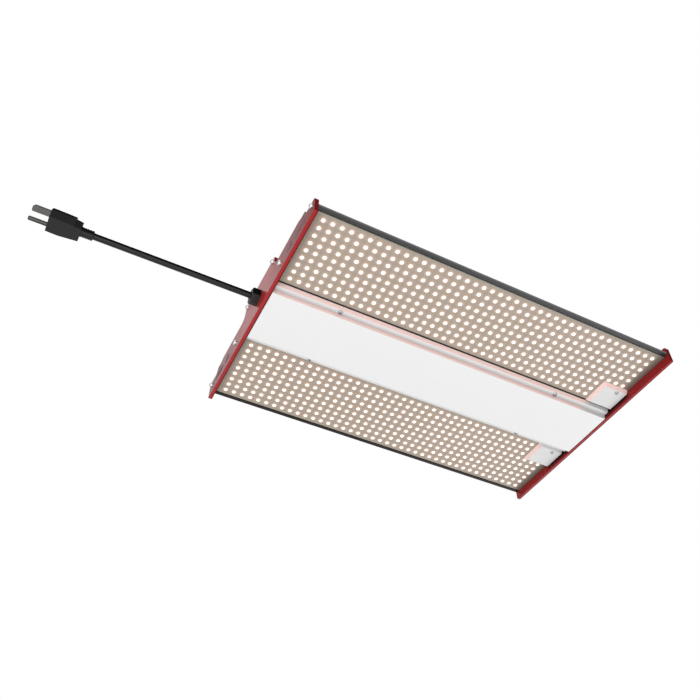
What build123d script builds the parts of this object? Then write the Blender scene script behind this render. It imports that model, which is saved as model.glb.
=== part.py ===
"""LED grow light: a finned panel with two light boards, a central power supply and a short power cord.

Lengths are in millimetres. +X runs along the light, away from the cord, and +Z is up: the boards shine
down. The origin is the middle of the underside. "front" pieces are on the -Y side, "rear" on the +Y side.
The hump of the end plates, the housing behind it and the cord gland share a line a little to the front.
"""
import os
from build123d import *

# Fits
seat_gap = 0.3            # between an end face and the seat that it is clamped into
slip_gap = 0.2            # round a screw shank or a cord in its hole
thread_gap = 0.05         # round a thread in its tapped bore
overcut = 1.0             # how far a cut runs past the faces that it goes through

# Light boards
led_columns = 41
led_rows = 9
led_pitch_x = 11.0
led_pitch_y = 10.65
led_inner_row_y = 56.5    # from the middle line to the nearest row
led_diameter = 5.0
led_height = 1.5
free_columns = 3          # corner left free for the connector, at the far end
free_rows = 3
board_end_margin = 13.6   # from the last column to the end of the board
board_side_margin = 7.8
board_thickness = 1.2
board_face_z = 10.4
pad_thickness = 0.4

# Heatsinks
heatsink_inner_y = 45.0
base_thickness = 2.0
rim_gap = 1.9             # from the board edge to the rim
rim_width = 4.0
fin_thickness = 1.6
fin_pitch = 7.0
first_fin_gap = 2.7       # from the tray to the first fin
tall_fin_count = 8
tall_fin_height = 16.5
low_fin_count = 4
low_fin_height = 4.0
port_radius = 3.0         # round screw ports along the extrusion
port_rise = 1.9           # port centre above the base
inner_port_y = 66.7
outer_port_inset = 6.9    # from the outer edge of the heatsink

# End plates
plate_thickness = 4.8
plate_web = 2.6           # left behind the pockets
plate_side_cover = 0.6    # beyond the heatsinks' sides
plate_wing_rim = 3.0      # over the tall fins
plate_low_top_z = 22.8
plate_corner_radius = 3.0
hump_middle_y = -3.2
hump_top_z = 52.8
hump_margin = 0.85        # from the side of the housing to the hump's upper corner
hump_slant = 3.2          # from the hump's upper corner out to its foot
hump_foot_radius = 11.0
wing_margin = 3.2         # from the last tall fin to the wing's corner
wing_slant = 7.5          # from the wing's corner out to the ear
ear_top_z = 30.8
ear_width = 9.2
ear_slant = 4.3           # from the ear's top out to its foot
pocket_side_gap = 0.3
pocket_top_gap = 0.5
pocket_low_top_gap = 1.0
hang_hole_diameter = 5.5
hang_hole_inset = 3.5     # from the inner end of the ear
hang_hole_z = 25.4
slot_height = 9.0
slot_z = 13.9
long_slot_y = (106.6, 133.0)
short_slot_y = (86.8, 100.5)

# Screws: (shank diameter, head diameter, head height)
plate_screw = (3.5, 6.4, 2.9)
plate_screw_grip = 12.0   # depth in the port
flange_screw = (3.5, 6.0, 2.0)
cover_screw = (3.0, 5.6, 1.9)
terminal_screw = (3.0, 5.0, 1.4)
recess_width = 0.9        # cross recess in every head
recess_depth = 1.0
recess_reach = 0.55       # its length as a share of the head's diameter

# Centre cover
cover_sheet = 1.2
cover_foot_gap = 0.2      # face above the plates' underside
cover_face_half = 37.3
cover_ledge_inner_y = 38.4
cover_ledge_outer_y = 44.7
cover_ledge_z = 5.45
cover_edge_y = 46.4
cover_screw_x = 150.0
standoff_diameter = 5.6
standoff_height = 4.2

# Terminal covers
terminal_inner_gap = 0.8  # from the centre cover's edge
terminal_length_y = 37.6
terminal_start_x = 194.5
terminal_end_gap = 1.0
terminal_height = 4.6
terminal_bevel = 3.2
terminal_wall = 1.2
terminal_screw_x = 217.5
terminal_screw_inset = 6.6
terminal_notch_radius = 2.0
connector_size = (12.0, 11.0, 3.0)
connector_x = 206.0
connector_inset = 13.5    # from the centre cover's edge to the connector
connector_slot = (2.0, 4.0, 0.6)
wire_hole_y = 53.2
wire_hole_radius = 3.0

# Driver tray and housing
tray_thickness = 1.5
tray_start_x = -214.0
tray_end_x = 226.0
housing_side_gap = 6.4    # from the driver to the rear wall; the front wall leaves room for the mains wires
housing_wall = 1.6
housing_top_gap = 0.7     # under the top of the end plates' hump
housing_port_inset = 4.1
housing_port_drop = 4.3
rear_flange_width = 18.0
flange_screw_inset = 6.5  # from the edges of the tray
flange_screw_x = (-200.0, -70.0, 70.0, 180.0)

# Driver
driver_length = 232.0
driver_width = 62.0
driver_height = 33.0
driver_wall = 2.0
driver_cap_thickness = 4.0
driver_foot_length = 12.0
driver_foot_height = 3.0
driver_foot_screw_y = 20.0
driver_rail = 1.5
driver_board_thickness = 1.6
transformer_size = (34.0, 30.0, 20.0)
transformer_x = (-28.0, 32.0)
capacitor_size = (8.0, 21.0)          # radius, height
capacitor_place = (86.0, 14.0)        # from the middle of the board
choke_size = (10.0, 4.0, 12.0)        # outer radius, bore radius, height
choke_x = -62.0

# Wires
wire_diameter = 1.6
wire_spacing = 2.6
output_wire_y = 20.0
output_wire_z = 26.0
duct_wire_z = 9.5
tray_hole_x = 168.0
tray_hole_radius = 5.0
duct_exit = 9.0           # where a wire starts to climb out of the duct, before the heatsink's edge
lip_entry = 2.0           # where it is level with the notch in the heatsink
board_wire_bends = (6.0, 6.0, 6.0, 3.0, 3.0, 1.8, 1.8)
mains_wire_end_y = 9.0
mains_turn_x = (-204.0, -140.0)
mains_wire_bends = (12.0, 12.0)
earth_place = (-176.0, -27.0)
earth_wire_z = 18.4
earth_wire_run = 8.0      # straight at both ends
earth_wire_bends = (6.0, 6.0)
lug_thickness = 0.8
lug_radius = 4.2
lug_neck_width = 4.0
lug_barrel_length = 9.0
lug_barrel_overlap = 2.0
grommet_wall = 1.5
grommet_lip = 1.0

# Cord gland, at the cord's end plate
gland_z = 24.1
gland_flats = 17.8
gland_flange = 3.2
gland_cap_length = 6.8
gland_cap_bevel = 1.2
gland_thread_diameter = 15.2
gland_thread_length = 16.0
gland_nut_thickness = 4.0
gland_spigot = 3.7
gland_spigot_diameter = 13.2
gland_seal_wall = 1.2
gland_bore_gap = 0.3

# Cord and plug
cord_diameter = 7.4
cord_length = 180.0       # from the gland to the plug's boot
cord_tail_end_x = -219.0
boot_length = 13.6
boot_diameter = 11.0
boot_rib_count = 4
boot_rib_depth = 0.9
plug_length = 33.5
plug_step = 26.1           # from the plug's face to the end of its grip
plug_twist = 57.0          # turn of the plug about the cord
blade_rise = 6.6           # blades above the cord's axis, away from the ground pin
blade_length = 18.4
blade_width = 6.35
blade_thickness = 1.5
blade_spacing = 12.7
ground_pin_length = 20.0
ground_pin_diameter = 4.8
ground_pin_drop = 11.9     # below the blades

# Sections of the plug: (distance from its face, half widths at its bottom, ridge and top, and their heights)
plug_sections = (
    (0.0, (6.5, 12.2, 8.5), (-11.7, 4.5, 12.7)),
    (13.0, (6.5, 12.0, 8.5), (-12.1, 4.2, 12.6)),
    (plug_step, (6.0, 11.0, 8.0), (-11.1, 3.6, 12.2)),
)
plug_rear_sections = (
    (plug_step, (5.8, 10.2, 7.0), (-11.1, 3.4, 10.3)),
    (plug_length, (5.0, 8.6, 6.0), (-10.6, 3.0, 9.4)),
)

# Derived places
gland_y = hump_middle_y
board_half_length = (led_columns - 1) / 2 * led_pitch_x + board_end_margin
board_inner_y = led_inner_row_y - board_side_margin
board_outer_y = led_inner_row_y + (led_rows - 1) * led_pitch_y + board_side_margin
rim_inner_y = board_outer_y + rim_gap
heatsink_outer_y = rim_inner_y + rim_width
plate_half_width = heatsink_outer_y + plate_side_cover
housing_half_width = driver_width / 2 + housing_side_gap + housing_wall - hump_middle_y
tray_half_width = hump_middle_y + housing_half_width + rear_flange_width
flange_screw_y = tray_half_width - flange_screw_inset
first_fin_y = tray_half_width + first_fin_gap + fin_thickness / 2
tall_fins_end_y = first_fin_y + (tall_fin_count - 1) * fin_pitch + fin_thickness / 2
hump_half_top = housing_half_width + hump_margin
wing_outer_y = tall_fins_end_y + wing_margin
ear_inner_y = wing_outer_y + wing_slant
ear_outer_y = ear_inner_y + ear_width
hang_hole_y = ear_inner_y + hang_hole_inset
pocket_floor_x = board_half_length + seat_gap
plate_outer_x = pocket_floor_x + plate_web
plate_inner_x = plate_outer_x - plate_thickness
base_z = board_face_z + board_thickness + pad_thickness
base_top_z = base_z + base_thickness
tall_fin_top_z = base_top_z + tall_fin_height
low_fin_top_z = base_top_z + low_fin_height
wing_top_z = tall_fin_top_z + plate_wing_rim
port_z = base_top_z + port_rise
outer_port_y = heatsink_outer_y - outer_port_inset
tray_top_z = base_top_z + tray_thickness
housing_top_z = hump_top_z - housing_top_gap
housing_port_reach = housing_half_width - housing_port_inset
housing_port_z = housing_top_z - housing_port_drop
housing_end_x = plate_inner_x - seat_gap
driver_cap_x = driver_length / 2 + driver_cap_thickness
driver_foot_x = driver_cap_x + driver_foot_length / 2
driver_board_z = tray_top_z + driver_wall + driver_rail
cover_screw_y = (cover_ledge_inner_y + cover_ledge_outer_y) / 2
terminal_end_x = plate_inner_x - terminal_end_gap
terminal_middle_y = cover_edge_y + terminal_inner_gap + terminal_length_y / 2
connector_y = cover_edge_y + connector_inset
gland_face_x = -plate_outer_x - gland_flange
cord_start_x = gland_face_x - gland_cap_length
seal_radius = cord_diameter / 2 + slip_gap + gland_seal_wall
seal_x = (gland_face_x - gland_spigot, gland_face_x + gland_spigot / 2)
boot_start_x = cord_start_x - cord_length
plug_rear_x = boot_start_x - boot_length
plug_face_x = plug_rear_x - plug_length


def block(x_range, y_range, z_range):
    """Box between two corners."""
    size = [b - a for a, b in (x_range, y_range, z_range)]
    middle = [(a + b) / 2 for a, b in (x_range, y_range, z_range)]
    return Pos(*middle) * Box(*size)


def rod_x(radius, x_range, y, z):
    """Cylinder along X."""
    length = x_range[1] - x_range[0]
    return Pos(sum(x_range) / 2, y, z) * Rot(0, 90, 0) * Cylinder(radius, length)


def rod_z(radius, x, y, z_range):
    """Cylinder along Z."""
    return Pos(x, y, sum(z_range) / 2) * Cylinder(radius, z_range[1] - z_range[0])


def along_x(profile, x_range):
    """Extrude a YZ profile from one X to another."""
    return Pos(x_range[0], 0, 0) * extrude(Plane.YZ * profile, x_range[1] - x_range[0])


def outline(points):
    """Closed face through points."""
    return make_face(Polyline(*points, close=True))


def both_sides(points):
    """Right half of an outline, from bottom to top, completed by its mirror image."""
    return points + [(-y, z) for y, z in reversed(points)]


def rectangle_at(y_range, z_range):
    """Rectangle in a YZ profile."""
    middle = Pos(sum(y_range) / 2, sum(z_range) / 2)
    return middle * Rectangle(y_range[1] - y_range[0], z_range[1] - z_range[0])


def hexagon(flats):
    """Hexagon of a given width across its flats, corners up and down."""
    return RegularPolygon(flats / 2, 6, major_radius=False, rotation=30)


def screw(size, shank_length):
    """Pan-head screw along Z: the head's underside is at 0 and the shank goes up."""
    shank_diameter, head_diameter, head_height = size
    head = Pos(0, 0, -head_height / 2) * Cylinder(head_diameter / 2, head_height)
    head = chamfer(head.edges().group_by(Axis.Z)[0], head_height / 4)
    shank = Pos(0, 0, shank_length / 2) * Cylinder(shank_diameter / 2, shank_length)
    recess_length = head_diameter * recess_reach
    recess_z = -head_height + recess_depth / 2
    for angle in (0, 90):
        head -= Pos(0, 0, recess_z) * Rot(0, 0, angle) * Box(recess_length, recess_width, recess_depth)
    return head + shank


def tube_along(points, radii, diameter):
    """Round wire along straight runs joined by arcs."""
    path = FilletPolyline(*points, radius=radii)
    start = Plane(origin=path @ 0, z_dir=path % 0)
    return sweep(start * Circle(diameter / 2), path)


# End plates and their screws

def housing_port_ys():
    """Middle lines of the two screw ports in the housing."""
    return [hump_middle_y + side * housing_port_reach for side in (-1, 1)]


def plate_screw_places():
    """Screw centres in an end plate, as (y, z)."""
    heatsink_ports = [(side * y, port_z) for side in (-1, 1) for y in (inner_port_y, outer_port_y)]
    return heatsink_ports + [(y, housing_port_z) for y in housing_port_ys()]


def plate_outline():
    """Stepped outline of an end plate: low ends, ears, wings and a hump."""
    low = [
        (plate_half_width, 0),
        (plate_half_width, plate_low_top_z),
        (ear_outer_y + ear_slant, plate_low_top_z),
        (ear_outer_y, ear_top_z),
        (ear_inner_y, ear_top_z),
        (wing_outer_y, wing_top_z),
    ]
    hump = [(hump_half_top + hump_slant, wing_top_z), (hump_half_top, hump_top_z)]
    wings = outline(both_sides(low))
    middle = Pos(hump_middle_y, 0) * outline(both_sides(hump))
    middle = fillet(middle.vertices().group_by(Axis.Y)[-1], plate_corner_radius)
    face = wings + middle
    feet = [v for v in face.vertices() if is_hump_foot(v)]
    face = fillet(feet, hump_foot_radius)
    ends = [v for v in face.vertices() if v.Y > 0 and abs(v.X) > plate_half_width - overcut]
    return fillet(ends, plate_corner_radius)


def is_hump_foot(vertex):
    """Whether a corner of the plate's outline is where the hump meets a wing."""
    on_wing = abs(vertex.Y - wing_top_z) < thread_gap
    return on_wing and abs(vertex.X) < hump_half_top + hump_slant - hump_middle_y + overcut


def plate_pocket(side):
    """Seat for one heatsink and board in the inner face of a plate."""
    y_start = heatsink_inner_y - pocket_side_gap
    y_end = rim_inner_y - pocket_side_gap
    tall_end_y = tall_fins_end_y + pocket_top_gap
    z_start = board_face_z - pocket_top_gap
    low = rectangle_at((y_start, y_end), (z_start, low_fin_top_z + pocket_low_top_gap))
    tall = rectangle_at((y_start, tall_end_y), (z_start, tall_fin_top_z + pocket_top_gap))
    pocket = along_x(low + tall, (plate_inner_x, pocket_floor_x))
    return pocket if side > 0 else mirror(pocket, Plane.XZ)


def plate_slots(side):
    """Long and short vent slots of one wing, cut through the web."""
    cuts = []
    for y_start, y_end in (long_slot_y, short_slot_y):
        length = y_end - y_start
        slot = Pos(side * (y_start + y_end) / 2, slot_z) * SlotOverall(length, slot_height)
        cuts.append(along_x(slot, (pocket_floor_x, plate_outer_x)))
    return cuts


def end_plate(with_gland):
    """End plate at +X, or its mirror image at -X with the gland hole."""
    plate = along_x(plate_outline(), (plate_inner_x, plate_outer_x))
    through = (plate_inner_x - overcut, plate_outer_x + overcut)
    for side in (-1, 1):
        plate -= plate_pocket(side)
        plate -= plate_slots(side)
        plate -= rod_x(hang_hole_diameter / 2, through, side * hang_hole_y, hang_hole_z)
    for y, z in plate_screw_places():
        plate -= rod_x(plate_screw[0] / 2 + slip_gap, through, y, z)
    if not with_gland:
        return plate
    plate -= rod_x(gland_thread_diameter / 2 + slip_gap, through, gland_y, gland_z)
    return mirror(plate, Plane.YZ)


def end_plate_screws(end):
    """Six screws that clamp one end plate to the ports."""
    shape = screw(plate_screw, plate_outer_x - board_half_length + plate_screw_grip)
    turn = Rot(0, -90, 0) if end > 0 else Rot(0, 90, 0)
    return [Pos(end * plate_outer_x, y, z) * turn * shape for y, z in plate_screw_places()]


# Heatsinks, pads and light boards

def heatsink_profile():
    """Section of the rear heatsink: base, rim, fins and screw ports."""
    profile = rectangle_at((heatsink_inner_y, heatsink_outer_y), (base_z, base_top_z))
    profile += rectangle_at((rim_inner_y, heatsink_outer_y), (board_face_z, base_top_z))
    for index in range(tall_fin_count + low_fin_count):
        y = first_fin_y + index * fin_pitch
        top = tall_fin_top_z if index < tall_fin_count else low_fin_top_z
        profile += rectangle_at((y - fin_thickness / 2, y + fin_thickness / 2), (base_z, top))
    for y in (inner_port_y, outer_port_y):
        profile += Pos(y, port_z) * Circle(port_radius)
    for y in (inner_port_y, outer_port_y):
        profile -= Pos(y, port_z) * Circle(plate_screw[0] / 2 + thread_gap)
    return profile


def terminal_screw_y(side):
    """Both terminal covers are the same part, so their screws are near their -Y edges."""
    return side * terminal_middle_y - terminal_length_y / 2 + terminal_screw_inset


def heatsink(side):
    """Finned extrusion of one side."""
    body = along_x(heatsink_profile(), (-board_half_length, board_half_length))
    corner_y = (rim_inner_y - 2 * pocket_side_gap, heatsink_outer_y + overcut)
    for end in (-1, 1):
        x_range = sorted((end * (plate_inner_x - seat_gap), end * (board_half_length + overcut)))
        body -= block(x_range, corner_y, (board_face_z - overcut, tall_fin_top_z))
    notch_half = 2 * wire_hole_radius
    notch_y = (heatsink_inner_y - overcut, wire_hole_y + wire_hole_radius)
    body -= block((connector_x - notch_half, connector_x + notch_half), notch_y, (base_z, base_top_z))
    cut_z = (base_z - overcut, base_top_z + overcut)
    for x in flange_screw_x:
        body -= rod_z(flange_screw[0] / 2 + thread_gap, x, flange_screw_y, cut_z)
    if side < 0:
        body = mirror(body, Plane.XZ)
    hole_radius = terminal_screw[0] / 2 + thread_gap
    return body - rod_z(hole_radius, terminal_screw_x, terminal_screw_y(side), cut_z)


def flat_layer(side, z_range):
    """Board or pad with its wire hole and screw hole."""
    y_range = sorted((side * board_inner_y, side * board_outer_y))
    layer = block((-board_half_length, board_half_length), y_range, z_range)
    cut_z = (z_range[0] - overcut, z_range[1] + overcut)
    layer -= rod_z(wire_hole_radius, connector_x, side * wire_hole_y, cut_z)
    hole_radius = terminal_screw[0] / 2 + slip_gap
    return layer - rod_z(hole_radius, terminal_screw_x, terminal_screw_y(side), cut_z)


def led_places(side):
    """Centres of the packages of one board; the far inner corner is left free."""
    first_x = -(led_columns - 1) / 2 * led_pitch_x
    for column in range(led_columns):
        for row in range(led_rows):
            if column >= led_columns - free_columns and row < free_rows:
                continue
            yield first_x + column * led_pitch_x, side * (led_inner_row_y + row * led_pitch_y)


def led_packages(side):
    """Light-emitting packages, each a separate short cylinder under the board."""
    package = Cylinder(led_diameter / 2, led_height).solid()
    z = board_face_z - led_height / 2
    return [Pos(x, y, z) * package for x, y in led_places(side)]


# Centre cover and terminal covers

def cover_profile():
    """Section of the centre cover: face, steps, ledges and sloping edges."""
    lid_z = board_face_z + 2 * cover_sheet
    half = [
        (cover_face_half, cover_foot_gap),
        (cover_ledge_inner_y, cover_ledge_z),
        (cover_ledge_outer_y, cover_ledge_z),
        (cover_edge_y, board_face_z),
        (cover_edge_y, lid_z),
    ]
    solid = outline(both_sides(half))
    hollow = offset(solid, -cover_sheet, kind=Kind.INTERSECTION)
    above = rectangle_at((-cover_edge_y, cover_edge_y), (board_face_z, lid_z))
    return solid - hollow - above


def cover_screw_places():
    """Screws on the ledges, as (x, y)."""
    return [(a * cover_screw_x, b * cover_screw_y) for a in (-1, 1) for b in (-1, 1)]


def centre_cover():
    """Formed white cover between the boards."""
    half_length = plate_inner_x - seat_gap
    cover = along_x(cover_profile(), (-half_length, half_length))
    for x, y in cover_screw_places():
        cut_z = (cover_ledge_z - overcut, cover_ledge_z + 2 * cover_sheet)
        cover -= rod_z(cover_screw[0] / 2 + slip_gap, x, y, cut_z)
    return cover


def cover_standoffs():
    """Threaded standoffs under the tray."""
    z_range = (base_top_z - standoff_height, base_top_z)
    bore = cover_screw[0] / 2 + thread_gap
    return [
        rod_z(standoff_diameter / 2, x, y, z_range) - rod_z(bore, x, y, z_range)
        for x, y in cover_screw_places()
    ]


def cover_screws():
    """Screws from below, through the ledges into the standoffs."""
    shape = screw(cover_screw, base_top_z - cover_ledge_z - seat_gap)
    return [Pos(x, y, cover_ledge_z) * shape for x, y in cover_screw_places()]


def bevelled_block(x_range, y_range, bottom_z, top_z, bevel):
    """Block whose lower face is smaller on three sides: -X and both Y sides."""
    def level(inset, z):
        x_start, x_end = x_range[0] + inset, x_range[1]
        y_start, y_end = y_range[0] + inset, y_range[1] - inset
        corners = [(x_start, y_start), (x_end, y_start), (x_end, y_end), (x_start, y_end)]
        return Pos(0, 0, z) * outline(corners)
    return loft([level(bevel, bottom_z), level(0, top_z)])


def terminal_cover(side):
    """Cap over the connector of one board."""
    x_range = (terminal_start_x, terminal_end_x)
    middle = side * terminal_middle_y
    y_range = (middle - terminal_length_y / 2, middle + terminal_length_y / 2)
    face_z = board_face_z - terminal_height
    cover = bevelled_block(x_range, y_range, face_z, board_face_z, terminal_bevel)
    wall = terminal_wall
    inner_x = (x_range[0] + wall, x_range[1] - wall)
    inner_y = (y_range[0] + wall, y_range[1] - wall)
    cover -= bevelled_block(inner_x, inner_y, face_z + wall, board_face_z, terminal_bevel - wall / 2)
    screw_y = terminal_screw_y(side)
    cover += rod_z(terminal_screw[0], terminal_screw_x, screw_y, (face_z + wall / 2, board_face_z))
    shank = terminal_screw[0] / 2 + slip_gap
    cover -= rod_z(shank, terminal_screw_x, screw_y, (face_z - overcut, board_face_z + overcut))
    notch_y = y_range[1] - terminal_bevel
    cover -= rod_z(terminal_notch_radius, terminal_screw_x, notch_y, (face_z - overcut, face_z + wall / 2))
    return cover


def terminal_screws():
    """One screw in each terminal cover."""
    face_z = board_face_z - terminal_height
    shape = screw(terminal_screw, base_top_z - face_z - seat_gap)
    return [Pos(terminal_screw_x, terminal_screw_y(side), face_z) * shape for side in (-1, 1)]


def terminal_connector(side):
    """Two-pole push-in connector on a board."""
    length, width, height = connector_size
    y_range = sorted((side * connector_y, side * (connector_y + width)))
    z_range = (board_face_z - height, board_face_z)
    body = block((connector_x - length / 2, connector_x + length / 2), y_range, z_range)
    slot = Box(*connector_slot)
    for place in (-1, 1):
        x = connector_x + place * length / 4
        middle_y = side * (connector_y + width / 2)
        body -= Pos(x, middle_y, z_range[0] + connector_slot[2] / 2) * slot
    return body


# Tray, housing and driver

def flange_screw_places():
    """Screws of the housing flanges, as (x, y)."""
    return [(x, side * flange_screw_y) for x in flange_screw_x for side in (-1, 1)]


def driver_screw_places():
    """Screws in the driver's feet, as (x, y)."""
    return [(a * driver_foot_x, b * driver_foot_screw_y) for a in (-1, 1) for b in (-1, 1)]


def driver_tray():
    """Flat steel tray that joins the heatsinks and carries the driver."""
    y_range = (-tray_half_width, tray_half_width)
    tray = block((tray_start_x, tray_end_x), y_range, (base_top_z, tray_top_z))
    cut_z = (base_top_z - overcut, tray_top_z + overcut)
    for x, y in flange_screw_places():
        tray -= rod_z(flange_screw[0] / 2 + slip_gap, x, y, cut_z)
    for x, y in driver_screw_places() + [earth_place]:
        tray -= rod_z(flange_screw[0] / 2 + thread_gap, x, y, cut_z)
    for side in (-1, 1):
        tray -= rod_z(tray_hole_radius, tray_hole_x, side * output_wire_y, cut_z)
    return tray


def housing_profile():
    """Section of the driver housing: an upturned channel with flanges and two screw ports."""
    def upright(half_width, top_z):
        y_range = (hump_middle_y - half_width, hump_middle_y + half_width)
        return rectangle_at(y_range, (tray_top_z, top_z))
    channel = upright(housing_half_width, housing_top_z)
    channel = fillet(channel.vertices().group_by(Axis.Y)[-1], plate_corner_radius)
    channel += rectangle_at((-tray_half_width, tray_half_width), (tray_top_z, tray_top_z + housing_wall))
    channel -= upright(housing_half_width - housing_wall, housing_top_z - housing_wall)
    for y in housing_port_ys():
        channel += Pos(y, housing_port_z) * Circle(port_radius)
    for y in housing_port_ys():
        channel -= Pos(y, housing_port_z) * Circle(plate_screw[0] / 2 + thread_gap)
    return channel


def driver_housing():
    """Extruded top housing between the end plates."""
    housing = along_x(housing_profile(), (-housing_end_x, housing_end_x))
    for x, y in flange_screw_places():
        cut_z = (tray_top_z - overcut, tray_top_z + housing_wall + overcut)
        housing -= rod_z(flange_screw[0] / 2 + slip_gap, x, y, cut_z)
    return housing


def downward_screws(size, places, head_z, shank_length):
    """Screws with their heads up."""
    shape = Rot(180, 0, 0) * screw(size, shank_length)
    return [Pos(x, y, head_z) * shape for x, y in places]


def housing_screws():
    """Screws through the housing flange and the tray into the heatsinks."""
    length = housing_wall + tray_thickness + base_thickness - seat_gap
    return downward_screws(flange_screw, flange_screw_places(), tray_top_z + housing_wall, length)


def driver_case():
    """Extruded case of the driver, with rails that carry its circuit board."""
    half = driver_width / 2
    top = tray_top_z + driver_height
    profile = rectangle_at((-half, half), (tray_top_z, top))
    profile = fillet(profile.vertices(), driver_wall)
    inner = half - driver_wall
    profile -= rectangle_at((-inner, inner), (tray_top_z + driver_wall, top - driver_wall))
    for side in (-1, 1):
        y_range = sorted((side * inner, side * (inner - 2 * driver_rail)))
        profile += rectangle_at(y_range, (tray_top_z + driver_wall, driver_board_z))
    return along_x(profile, (-driver_length / 2, driver_length / 2))


def driver_end_caps():
    """End caps with feet that are screwed to the tray."""
    half = driver_width / 2
    caps = []
    for end in (-1, 1):
        cap_x = sorted((end * driver_length / 2, end * driver_cap_x))
        foot_x = sorted((end * driver_length / 2, end * (driver_cap_x + driver_foot_length)))
        cap = block(cap_x, (-half, half), (tray_top_z, tray_top_z + driver_height))
        cap += block(foot_x, (-half, half), (tray_top_z, tray_top_z + driver_foot_height))
        for side in (-1, 1):
            hole_z = (tray_top_z - overcut, tray_top_z + driver_foot_height + overcut)
            radius = flange_screw[0] / 2 + slip_gap
            cap -= rod_z(radius, end * driver_foot_x, side * driver_foot_screw_y, hole_z)
        caps.append(cap)
    return caps


def driver_screws():
    """Screws through the driver's feet into the tray."""
    length = driver_foot_height + tray_thickness
    return downward_screws(flange_screw, driver_screw_places(), tray_top_z + driver_foot_height, length)


def driver_circuit_board():
    """Circuit board on the rails of the case."""
    half = driver_width / 2 - driver_wall - slip_gap
    end = driver_length / 2 - seat_gap
    return block((-end, end), (-half, half), (driver_board_z, driver_board_z + driver_board_thickness))


def driver_components():
    """Largest parts on the circuit board: two transformers, four capacitors and a choke."""
    floor = driver_board_z + driver_board_thickness
    transformer = Box(*transformer_size)
    parts = [Pos(x, 0, floor + transformer_size[2] / 2) * transformer for x in transformer_x]
    capacitor_radius, capacitor_height = capacitor_size
    place_x, place_y = capacitor_place
    for x in (-place_x, place_x):
        for y in (-place_y, place_y):
            parts.append(rod_z(capacitor_radius, x, y, (floor, floor + capacitor_height)))
    outer_radius, bore_radius, choke_height = choke_size
    choke_z = (floor, floor + choke_height)
    return parts + [rod_z(outer_radius, choke_x, 0, choke_z) - rod_z(bore_radius, choke_x, 0, choke_z)]


# Wiring

def board_wires(side):
    """Two leads from the driver, through the tray and the duct, to one connector."""
    wires = []
    hole_y = side * wire_hole_y
    for place in (-0.5, 0.5):
        shift = place * wire_spacing
        y = side * output_wire_y + shift
        x = connector_x - side * shift
        over_lip_z = (base_z + base_top_z) / 2
        end_z = board_face_z - connector_size[2] / 2
        points = [
            (driver_cap_x, y, output_wire_z),
            (tray_hole_x, y, output_wire_z),
            (tray_hole_x, y, duct_wire_z),
            (x, y, duct_wire_z),
            (x, side * (heatsink_inner_y - duct_exit), duct_wire_z),
            (x, side * (heatsink_inner_y - lip_entry), over_lip_z),
            (x, hole_y, over_lip_z),
            (x, hole_y, end_z),
            (x, side * connector_y, end_z),
        ]
        wires.append(tube_along(points, board_wire_bends, wire_diameter))
    return wires


def mains_wires():
    """Live and neutral cores from the stripped cord to the driver."""
    wires = []
    for side in (-1, 1):
        y = gland_y + side * cord_diameter / 4
        end_y = side * mains_wire_end_y
        points = [
            (cord_tail_end_x, y, gland_z),
            (mains_turn_x[0], y, gland_z),
            (mains_turn_x[1], end_y, output_wire_z),
            (-driver_cap_x, end_y, output_wire_z),
        ]
        wires.append(tube_along(points, mains_wire_bends, wire_diameter))
    return wires


def earth_wire():
    """Earth core from the stripped cord to its lug."""
    z = gland_z - cord_diameter / 4
    earth_x, earth_y = earth_place
    barrel_x = earth_x - lug_radius - lug_barrel_length
    points = [
        (cord_tail_end_x, gland_y, z),
        (cord_tail_end_x + earth_wire_run, gland_y, z),
        (barrel_x - earth_wire_run, earth_y, earth_wire_z),
        (barrel_x, earth_y, earth_wire_z),
    ]
    return tube_along(points, earth_wire_bends, wire_diameter)


def earth_lug():
    """Ring lug on the tray."""
    earth_x, earth_y = earth_place
    z_range = (tray_top_z, tray_top_z + lug_thickness)
    lug = rod_z(lug_radius, earth_x, earth_y, z_range)
    neck_x = (earth_x - lug_radius - lug_barrel_length / 2, earth_x)
    lug += block(neck_x, (earth_y - lug_neck_width / 2, earth_y + lug_neck_width / 2), z_range)
    barrel_x = (earth_x - lug_radius - lug_barrel_length, earth_x - lug_radius - lug_barrel_overlap)
    barrel_radius = earth_wire_z - tray_top_z - lug_thickness / 2
    lug += rod_x(barrel_radius, barrel_x, earth_y, earth_wire_z)
    cut_z = (z_range[0] - overcut, z_range[1] + overcut)
    return lug - rod_z(flange_screw[0] / 2 + slip_gap, earth_x, earth_y, cut_z)


def earth_screw():
    """Screw of the earth lug."""
    length = lug_thickness + tray_thickness
    return downward_screws(flange_screw, [earth_place], tray_top_z + lug_thickness, length)


def wire_grommets():
    """Rubber rings in the wire holes of the tray."""
    neck = tray_hole_radius - thread_gap
    rings = []
    for side in (-1, 1):
        y = side * output_wire_y
        ring = rod_z(neck, tray_hole_x, y, (base_top_z - grommet_lip, tray_top_z + grommet_lip))
        for z in (base_top_z - grommet_lip, tray_top_z):
            ring += rod_z(tray_hole_radius + grommet_wall, tray_hole_x, y, (z, z + grommet_lip))
        bore = (base_top_z - grommet_lip, tray_top_z + grommet_lip)
        rings.append(ring - rod_z(neck - grommet_wall, tray_hole_x, y, bore))
    return rings


# Cord gland, cord and plug

def gland_rod(radius, x_range):
    """Cylinder on the gland's axis."""
    return rod_x(radius, x_range, gland_y, gland_z)


def gland_prism(flats, x_range):
    """Hexagonal prism on the gland's axis."""
    return along_x(Pos(gland_y, gland_z) * hexagon(flats), x_range)


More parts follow.
